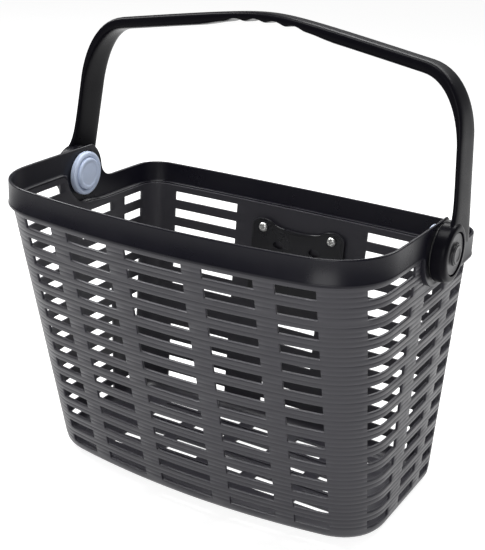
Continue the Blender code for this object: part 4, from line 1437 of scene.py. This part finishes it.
@dataclass
class Pivot:
    """One end of the handle's hinge: bush, push button, clutch plate and hub."""

    shape: BasketShape
    side: Side

    def __post_init__(self) -> None:
        """Reads the solids' faces along the pivot's axis."""
        letter = self.side.letter
        self.face = min(abs(v.x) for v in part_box(f"pivot_bush_{letter}"))
        self.journal_end = max(abs(v.x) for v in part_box(f"pivot_bush_{letter}"))
        self.button_face = min(abs(v.x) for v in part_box(f"release_button_{letter}"))
        self.plate_face = min(abs(v.x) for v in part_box(f"clutch_plate_{letter}"))

    def along(self, x: float) -> Matrix:
        """From a piece's own frame, Z outwards from its inner face, to its place at distance x."""
        place = Vector((self.side.sign * x, self.shape.pivot.y, self.shape.pivot.z))
        return Matrix.Translation(place) @ Matrix.Rotation(self.side.sign * math.pi / 2, 4, "Y")

    def turned(self, name: str, profile: Sequence[tuple[float, float]], x: float) -> bpy.types.Mesh:
        """Turns a profile and puts it on the axis at distance x."""
        mesh = turned_mesh(name, profile)
        mesh.transform(self.along(x))
        return mesh

    def build_bush(self) -> bpy.types.Mesh:
        """Builds the light ring with its soft outer edge, its pocket, neck and journal."""
        end = self.journal_end - self.face
        wall = self.shape.rim_half - self.face
        profile = [
            (15.3 * MM, 0.9 * MM, 0.3 * MM),
            (16.3 * MM, 0.15 * MM, 0.6 * MM),
            (18.0 * MM, 0.0, 0.8 * MM),
            (20.0 * MM, 0.7 * MM, 1.6 * MM),
            (20.0 * MM, 5.0 * MM, 0.3 * MM),
            (17.7 * MM, 5.0 * MM, 0),
            (17.7 * MM, wall, 0),
            (11.7 * MM, wall, 0),
            (11.7 * MM, end, 0.4 * MM),
            (4.8 * MM, end, 0.2 * MM),
            (4.8 * MM, end - 2 * MM, 0),
            (8.8 * MM, end - 2 * MM, 0),
            (8.8 * MM, 5.1 * MM, 0),
            (15.3 * MM, 5.1 * MM, 0),
        ]
        return self.turned("bush", rounded(profile), self.face)

    def build_button(self) -> bpy.types.Mesh:
        """Builds the push button: a shallow dome inside a rolled edge, and its stem."""
        stem = self.plate_face - 0.3 * MM - self.button_face
        profile = [
            (0, 0.55 * MM, 0),
            (5.0 * MM, 0.62 * MM, 2 * MM),
            (10.4 * MM, 1.0 * MM, 1.2 * MM),
            (11.6 * MM, 0.45 * MM, 0.6 * MM),
            (13.6 * MM, 0.45 * MM, 0.9 * MM),
            (14.75 * MM, 1.5 * MM, 0.9 * MM),
            (14.75 * MM, 3.8 * MM, 0.3 * MM),
            (4.5 * MM, 3.8 * MM, 0.4 * MM),
            (4.5 * MM, stem, 0.2 * MM),
            (1.9 * MM, stem, 0),
            (1.9 * MM, stem - 8 * MM, 0),
            (0, stem - 8 * MM, 0),
        ]
        return self.turned("button", rounded(profile), self.button_face)

    def build_plate(self) -> bpy.types.Mesh:
        """Builds the dark clutch plate with its raised hub."""
        profile = [
            (2.2 * MM, 0.0, 0),
            (17.0 * MM, 0.0, 0.2 * MM),
            (17.0 * MM, 2.2 * MM, 0.7 * MM),
            (11.2 * MM, 1.9 * MM, 1.0 * MM),
            (9.25 * MM, 2.3 * MM, 0.6 * MM),
            (9.25 * MM, 4.1 * MM, 0.7 * MM),
            (7.85 * MM, 4.1 * MM, 0.2 * MM),
            (7.85 * MM, 2.9 * MM, 0),
            (3.9 * MM, 2.9 * MM, 0),
            (3.9 * MM, 1.5 * MM, 0),
            (2.2 * MM, 1.5 * MM, 0),
        ]
        return self.turned("plate", rounded(profile), self.plate_face)

    def build_cap(self) -> bpy.types.Mesh:
        """Builds the small dished cap on the hub."""
        start = min(abs(v.x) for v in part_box(f"hub_cap_{self.side.letter}"))
        profile = [
            (0, 0, 0),
            (7.55 * MM, 0, 0),
            (7.55 * MM, 1.35 * MM, 0.45 * MM),
            (6.0 * MM, 1.35 * MM, 0.4 * MM),
            (4.6 * MM, 0.8 * MM, 0.8 * MM),
            (0, 0.75 * MM, 0),
        ]
        return self.turned("cap", rounded(profile), start)

    def build_all(self, finishes: Finishes) -> None:
        """Builds the side's pieces and puts them on their bodies."""
        letter = self.side.letter
        finish_piece(
            self.build_bush(),
            f"bush_ring_{letter}",
            Body.BASKET,
            finishes.grey,
            [f"pivot_bush_{letter}"],
        )
        finish_piece(
            self.build_button(),
            f"push_button_{letter}",
            self.side.button,
            finishes.grey,
            [f"release_button_{letter}"],
        )
        finish_piece(
            self.build_plate(),
            f"pivot_plate_{letter}",
            self.side.button,
            finishes.dark,
            [f"clutch_plate_{letter}"],
        )
        finish_piece(
            self.build_cap(),
            f"pivot_cap_{letter}",
            self.side.button,
            finishes.dark,
            [f"hub_cap_{letter}"],
        )


# ------------------------------------------------------------------ handle


@dataclass
class CarryingHandle:
    """The bow with its eyes and finger grip."""

    shape: BasketShape
    rise: float = 158 * MM
    bow: float = 19.5 * MM
    crown: float = 0.2
    arm_rise: float = 83 * MM
    lean_in: float = 8 * MM
    arm_width: float = 25 * MM
    spread_front: float = 1.5 * MM
    spread_back: float = 6.5 * MM
    arm_thickness: float = 4.6 * MM
    setback: float = 13 * MM
    corner_run: float = 40 * MM
    bar_thickness: float = 10.4 * MM
    grip_relief: float = 2 * MM
    scallop_pitch: float = 19 * MM
    scallops: int = 4
    scallop_depth: float = 2.4 * MM
    lean: float = math.radians(5)
    eye_diameter: float = 48 * MM
    eye_thickness: float = 12.5 * MM
    recess: tuple[float, float] = (36 * MM, 3.4 * MM)
    journal: float = 24 * MM

    def __post_init__(self) -> None:
        """Finds the eyes' faces from the solid's width."""
        low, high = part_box("handle")
        self.eye_outer = high.x
        self.eye_inner = high.x - self.eye_thickness

    def bar_rise(self, share: float) -> float:
        """Height of the cross bar above the pivot, at a share of its half length."""
        fall = (math.hypot(share, self.crown) - self.crown) / (math.hypot(1, self.crown) - self.crown)
        return self.rise - self.bow * fall

    def path(self) -> list[Vector]:
        """Middle line of the right half as (x, height above the pivot), from the eye to the top."""
        start_x = self.eye_outer - self.arm_thickness / 2
        top_x = start_x - self.lean_in
        bar_x = top_x - self.corner_run + 3 * MM
        path = []
        for step in range(19):
            height = 0.06 + 0.94 * step / 18
            path.append(Vector((start_x - self.lean_in * height, self.arm_rise * height)))
        start, stop = path[-1], Vector((bar_x, self.rise - self.bow))
        way_in = Vector((-self.lean_in, self.arm_rise)).normalized()
        way_out = Vector((-0.1 * bar_x, self.bar_rise(0.9) - self.bar_rise(1))).normalized()
        reach = 0.36 * (stop - start).length
        for step in range(1, 17):
            t = step / 16
            point = start * (1 - t) ** 3 + (start + way_in * reach) * (3 * (1 - t) ** 2 * t)
            path.append(point + (stop - way_out * reach) * (3 * (1 - t) * t**2) + stop * t**3)
        grip = self.scallop_pitch * self.scallops / 2
        for step in range(1, 13):
            x = bar_x + (grip - bar_x) * step / 12
            path.append(Vector((x, self.bar_rise(x / bar_x))))
        for step in range(1, 33):
            x = grip * (1 - step / 32)
            path.append(Vector((x, self.bar_rise(x / bar_x))))
        return path

    def reach(self, point: Vector) -> tuple[float, float, float, float]:
        """(front, back, inner, outer) reach of the section about the middle line."""
        height = point.y
        share = min(1.0, max(0.0, (height - self.arm_rise) / (self.rise - self.bow - self.arm_rise)))
        thickness = self.arm_thickness + (self.bar_thickness - self.arm_thickness) * share
        flare = 0.0
        if height < self.arm_rise * 0.8:
            flare = 15 * MM * math.exp(-max(0.0, height - 16 * MM) / (8 * MM))
        inner = thickness / 2
        grip = self.scallop_pitch * self.scallops / 2
        if height > self.arm_rise:
            fade = min(1.0, max(0.0, (grip * 1.7 - abs(point.x)) / (grip * 0.7)))
            inner -= self.grip_relief * (3 * fade**2 - 2 * fade**3)
        if abs(point.x) < grip and height > self.arm_rise:
            turn = 2 * math.pi * (point.x + grip) / self.scallop_pitch
            inner -= self.scallop_depth * (0.5 - 0.5 * math.cos(turn)) ** 0.8
        front_reach = self.arm_width / 2 + self.spread_front * (1 - share**2) + flare
        back_reach = self.arm_width / 2 + self.spread_back * (1 - share**2)
        return front_reach, back_reach, inner, thickness / 2

    def build_bow(self) -> bpy.types.Object:
        """Builds the bow alone, about the pivot."""
        half = self.path()
        path = half + [Vector((-p.x, p.y)) for p in reversed(half[:-1])]
        rings = []
        for i, point in enumerate(path):
            way = (path[min(i + 1, len(path) - 1)] - path[max(i - 1, 0)]).normalized()
            outward = Vector((way.y, -way.x))
            front, back, inner, outer = self.reach(point)
            ring = []
            for step in range(28):
                angle = 2 * math.pi * (step + 0.5) / 28
                across, up = math.cos(angle), math.sin(angle)
                power = 2 / 4.2
                across = math.copysign(abs(across) ** power, across)
                up = math.copysign(abs(up) ** power, up)
                depth = (front if across < 0 else back) * across
                lift = (outer if up > 0 else inner) * up
                spot = point + outward * lift
                ring.append(Vector((spot.x, self.setback + depth, spot.y)))
            rings.append(ring)
        bow = scratch_from_bmesh("bow", loft(rings, closed_path=False))
        bow.matrix_world = Matrix.Translation(self.shape.pivot) @ Matrix.Rotation(-self.lean, 4, "X")
        return bow

    def build_eye(self, side: Side) -> bpy.types.Object:
        """Builds one eye with soft edges, without its holes."""
        radius, depth = self.eye_diameter / 2, self.eye_thickness
        profile = rounded(
            [
                (0, 0, 0),
                (radius, 0, 1.5 * MM),
                (radius, depth, 4.6 * MM),
                (0, depth, 0),
            ],
            5,
        )
        eye = scratch_object("eye", turned_mesh("eye", profile))
        eye.matrix_world = Pivot(self.shape, side).along(self.eye_inner)
        return eye

    def build_cut(self, side: Side, diameter: float, start: float, stop: float) -> bpy.types.Object:
        """Builds a round cutter on the axis between two distances from the middle."""
        drill = bmesh.new()
        bmesh.ops.create_cone(
            drill, cap_ends=True, segments=96, radius1=diameter / 2, radius2=diameter / 2, depth=stop - start
        )
        cutter = scratch_from_bmesh("cut", drill)
        cutter.matrix_world = Pivot(self.shape, side).along((start + stop) / 2)
        return cutter

    def build(self) -> bpy.types.Mesh:
        """Builds the whole handle as one closed mesh."""
        handle = self.build_bow()
        others = []
        for side in Side:
            others.append((self.build_eye(side), "UNION"))
        for side in Side:
            inner, outer = self.eye_inner, self.eye_outer
            others.append((self.build_cut(side, self.recess[0], outer - self.recess[1], outer + 9 * MM), "DIFFERENCE"))
            others.append((self.build_cut(side, self.journal, inner - 9 * MM, outer + 9 * MM), "DIFFERENCE"))
            others.append((self.build_cut(side, self.eye_diameter * 1.4, inner - 8 * MM, inner), "DIFFERENCE"))
        for other, operation in others:
            add_boolean(handle, other, operation)
        bpy.context.view_layer.update()
        place = handle.matrix_world.copy()
        mesh = applied(handle, place)
        for other, _ in others:
            bpy.data.objects.remove(other)
        return mesh


# ------------------------------------------------------------------ studio


@dataclass
class Studio:
    """Pale floor, soft lights and the camera."""

    shape: BasketShape
    camera_place: tuple[float, float, float] = (0.4554, -0.7983, 0.5471)
    yaw: float = 0.5069
    pitch: float = 0.371
    roll: float = 0.0484
    focal: float = 1148.0
    picture: tuple[int, int] = (485, 550)
    centre: tuple[float, float] = (245.66, 277.97)

    def add_camera(self) -> None:
        """Adds the scene's camera."""
        data = bpy.data.cameras.new("camera")
        camera = bpy.data.objects.new("camera", data)
        bpy.context.scene.collection.objects.link(camera)
        ahead = Vector(
            (
                -math.sin(self.yaw) * math.cos(self.pitch),
                math.cos(self.yaw) * math.cos(self.pitch),
                -math.sin(self.pitch),
            )
        )
        right = Vector((math.cos(self.yaw), math.sin(self.yaw), 0))
        up = right.cross(ahead)
        turned_right = right * math.cos(self.roll) + up * math.sin(self.roll)
        turned_up = up * math.cos(self.roll) - right * math.sin(self.roll)
        pose = Matrix((turned_right, turned_up, -ahead)).transposed().to_4x4()
        pose.translation = Vector(self.camera_place) + Vector((0, self.shape.centre_y, 0))
        camera.matrix_world = pose
        width, height = self.picture
        data.sensor_fit = "VERTICAL"
        data.sensor_height = 24.0
        data.lens = self.focal / height * data.sensor_height
        data.shift_x = -(self.centre[0] - width / 2) / height
        data.shift_y = (self.centre[1] - height / 2) / height
        data.clip_start = 0.01
        bpy.context.scene.camera = camera

    def add_light(
        self, name: str, place: Sequence[float], target: Sequence[float], size: tuple[float, float], power: float
    ) -> None:
        """Adds a rectangular soft light.

        Args:
            name: the light's name.
            place: where it stands.
            target: where it points.
            size: its two sides, in metres.
            power: its power, in watts.
        """
        data = bpy.data.lights.new(name, "AREA")
        data.shape = "RECTANGLE"
        data.size, data.size_y = size
        data.energy = power
        light = bpy.data.objects.new(name, data)
        bpy.context.scene.collection.objects.link(light)
        light.location = place
        way = Vector(target) - Vector(place)
        light.rotation_euler = way.to_track_quat("-Z", "Y").to_euler()

    def add_floor(self) -> None:
        """Adds a large flat pale floor."""
        bm = bmesh.new()
        bmesh.ops.create_grid(bm, x_segments=2, y_segments=2, size=20.0)
        mesh = bpy.data.meshes.new("floor")
        bm.to_mesh(mesh)
        bm.free()
        floor = bpy.data.objects.new("studio_floor", mesh)
        bpy.context.scene.collection.objects.link(floor)
        paint = bpy.data.materials.new("studio paper")
        paint.use_nodes = True
        shader = paint.node_tree.nodes["Principled BSDF"]
        shader.inputs["Base Color"].default_value = (0.4, 0.4, 0.4, 1)
        shader.inputs["Emission Color"].default_value = (1, 1, 1, 1)
        shader.inputs["Emission Strength"].default_value = 0.85
        shader.inputs["Roughness"].default_value = 0.9
        mesh.materials.append(paint)

    def add_world(self) -> None:
        """Adds an even pale surround."""
        world = bpy.data.worlds.new("studio air")
        world.use_nodes = True
        air = world.node_tree.nodes["Background"]
        air.inputs["Color"].default_value = (1.0, 1.0, 1.0, 1)
        air.inputs["Strength"].default_value = 0.2
        bpy.context.scene.world = world

    def build(self) -> None:
        """Builds floor, air, lights and camera."""
        self.add_floor()
        self.add_world()
        middle = (0, 0, 0.2)
        self.add_light("overhead softbox", (0.0, 0.0, 1.7), middle, (0.9, 0.7), 20)
        self.add_light("left softbox", (-1.15, 0.1, 1.35), middle, (0.7, 0.7), 26)
        self.add_light("back softbox", (0.1, 1.2, 1.25), middle, (1.3, 0.5), 14)
        self.add_light("front softbox", (0.8, -1.7, 0.75), middle, (1.1, 0.9), 13)
        bpy.context.scene.view_settings.view_transform = "Standard"
        self.add_camera()


# ------------------------------------------------------------------ assembly


def dress_carried(frame: dict, finishes: Finishes) -> None:
    """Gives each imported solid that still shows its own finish.

    Args:
        finishes: the materials.
    """
    chosen: dict[str, bpy.types.Material] = {
        "button_spring": finishes.steel,
        "clutch_screw": finishes.steel,
        "eye_washer": finishes.nylon,
    }
    for name, node in frame["nodes"].items():
        for start, material in chosen.items():
            if name.startswith(start):
                node.data.materials.clear()
                node.data.materials.append(material)
                LOG.info("%s carried with %s", name, material.name)


def build_basket(shape: BasketShape, finishes: Finishes) -> None:
    """Builds every piece of the moulded body.

    Args:
        shape: the body's sizes.
        finishes: the materials.
    """
    walls = BasketWalls(shape).build(finishes.body)
    finish_piece(walls, "slatted_walls", Body.BASKET, None, ["basket_body"], 50)
    finish_piece(RimBand(shape).build(), "rim_band", Body.BASKET, finishes.rim)
    floor = BasketFloor(shape)
    finish_piece(floor.build(finishes.body), "floor_grid", Body.BASKET, finishes.body)
    finish_piece(floor.ribs(finishes.body), "floor_ribs", Body.BASKET, None)


def build_back(shape: BasketShape, finishes: Finishes, frame: dict) -> None:
    """Builds panel, plates and fastenings of the back wall.

    Args:
        shape: the body's sizes.
        finishes: the materials.
    """
    back = BackFittings(shape)
    finish_piece(back.build_panel(), "back_panel", Body.BASKET, finishes.body)
    plate = back.build_backing()
    finish_piece(plate, "screwed_plate", Body.BASKET, finishes.dark, ["backing_plate"])
    adapter = back.build_adapter(frame["nodes"]["adapter_plate"])
    finish_piece(adapter, "hook_plate", Body.BASKET, finishes.dark, ["adapter_plate"])
    screws = [f"adapter_screw_{i}" for i in range(1, 5)]
    finish_piece(back.build_screws(finishes.steel), "plate_screws", Body.BASKET, None, screws)
    nuts = [f"adapter_nut_{i}" for i in range(1, 5)]
    finish_piece(back.build_nuts(finishes.steel), "plate_nuts", Body.BASKET, None, nuts)


def main() -> None:
    """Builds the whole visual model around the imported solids."""
    logging.basicConfig(level=logging.INFO, format="%(name)s %(message)s")
    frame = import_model()
    finishes = Finishes()
    shape = BasketShape()
    build_basket(shape, finishes)
    build_back(shape, finishes, frame)
    for side in Side:
        Pivot(shape, side).build_all(finishes)
    handle = CarryingHandle(shape).build()
    finish_piece(handle, "handle_bow", Body.HANDLE, finishes.handle, ["handle"])
    dress_carried(frame, finishes)
    Studio(shape).build()


if __name__ == "__main__":
    main()
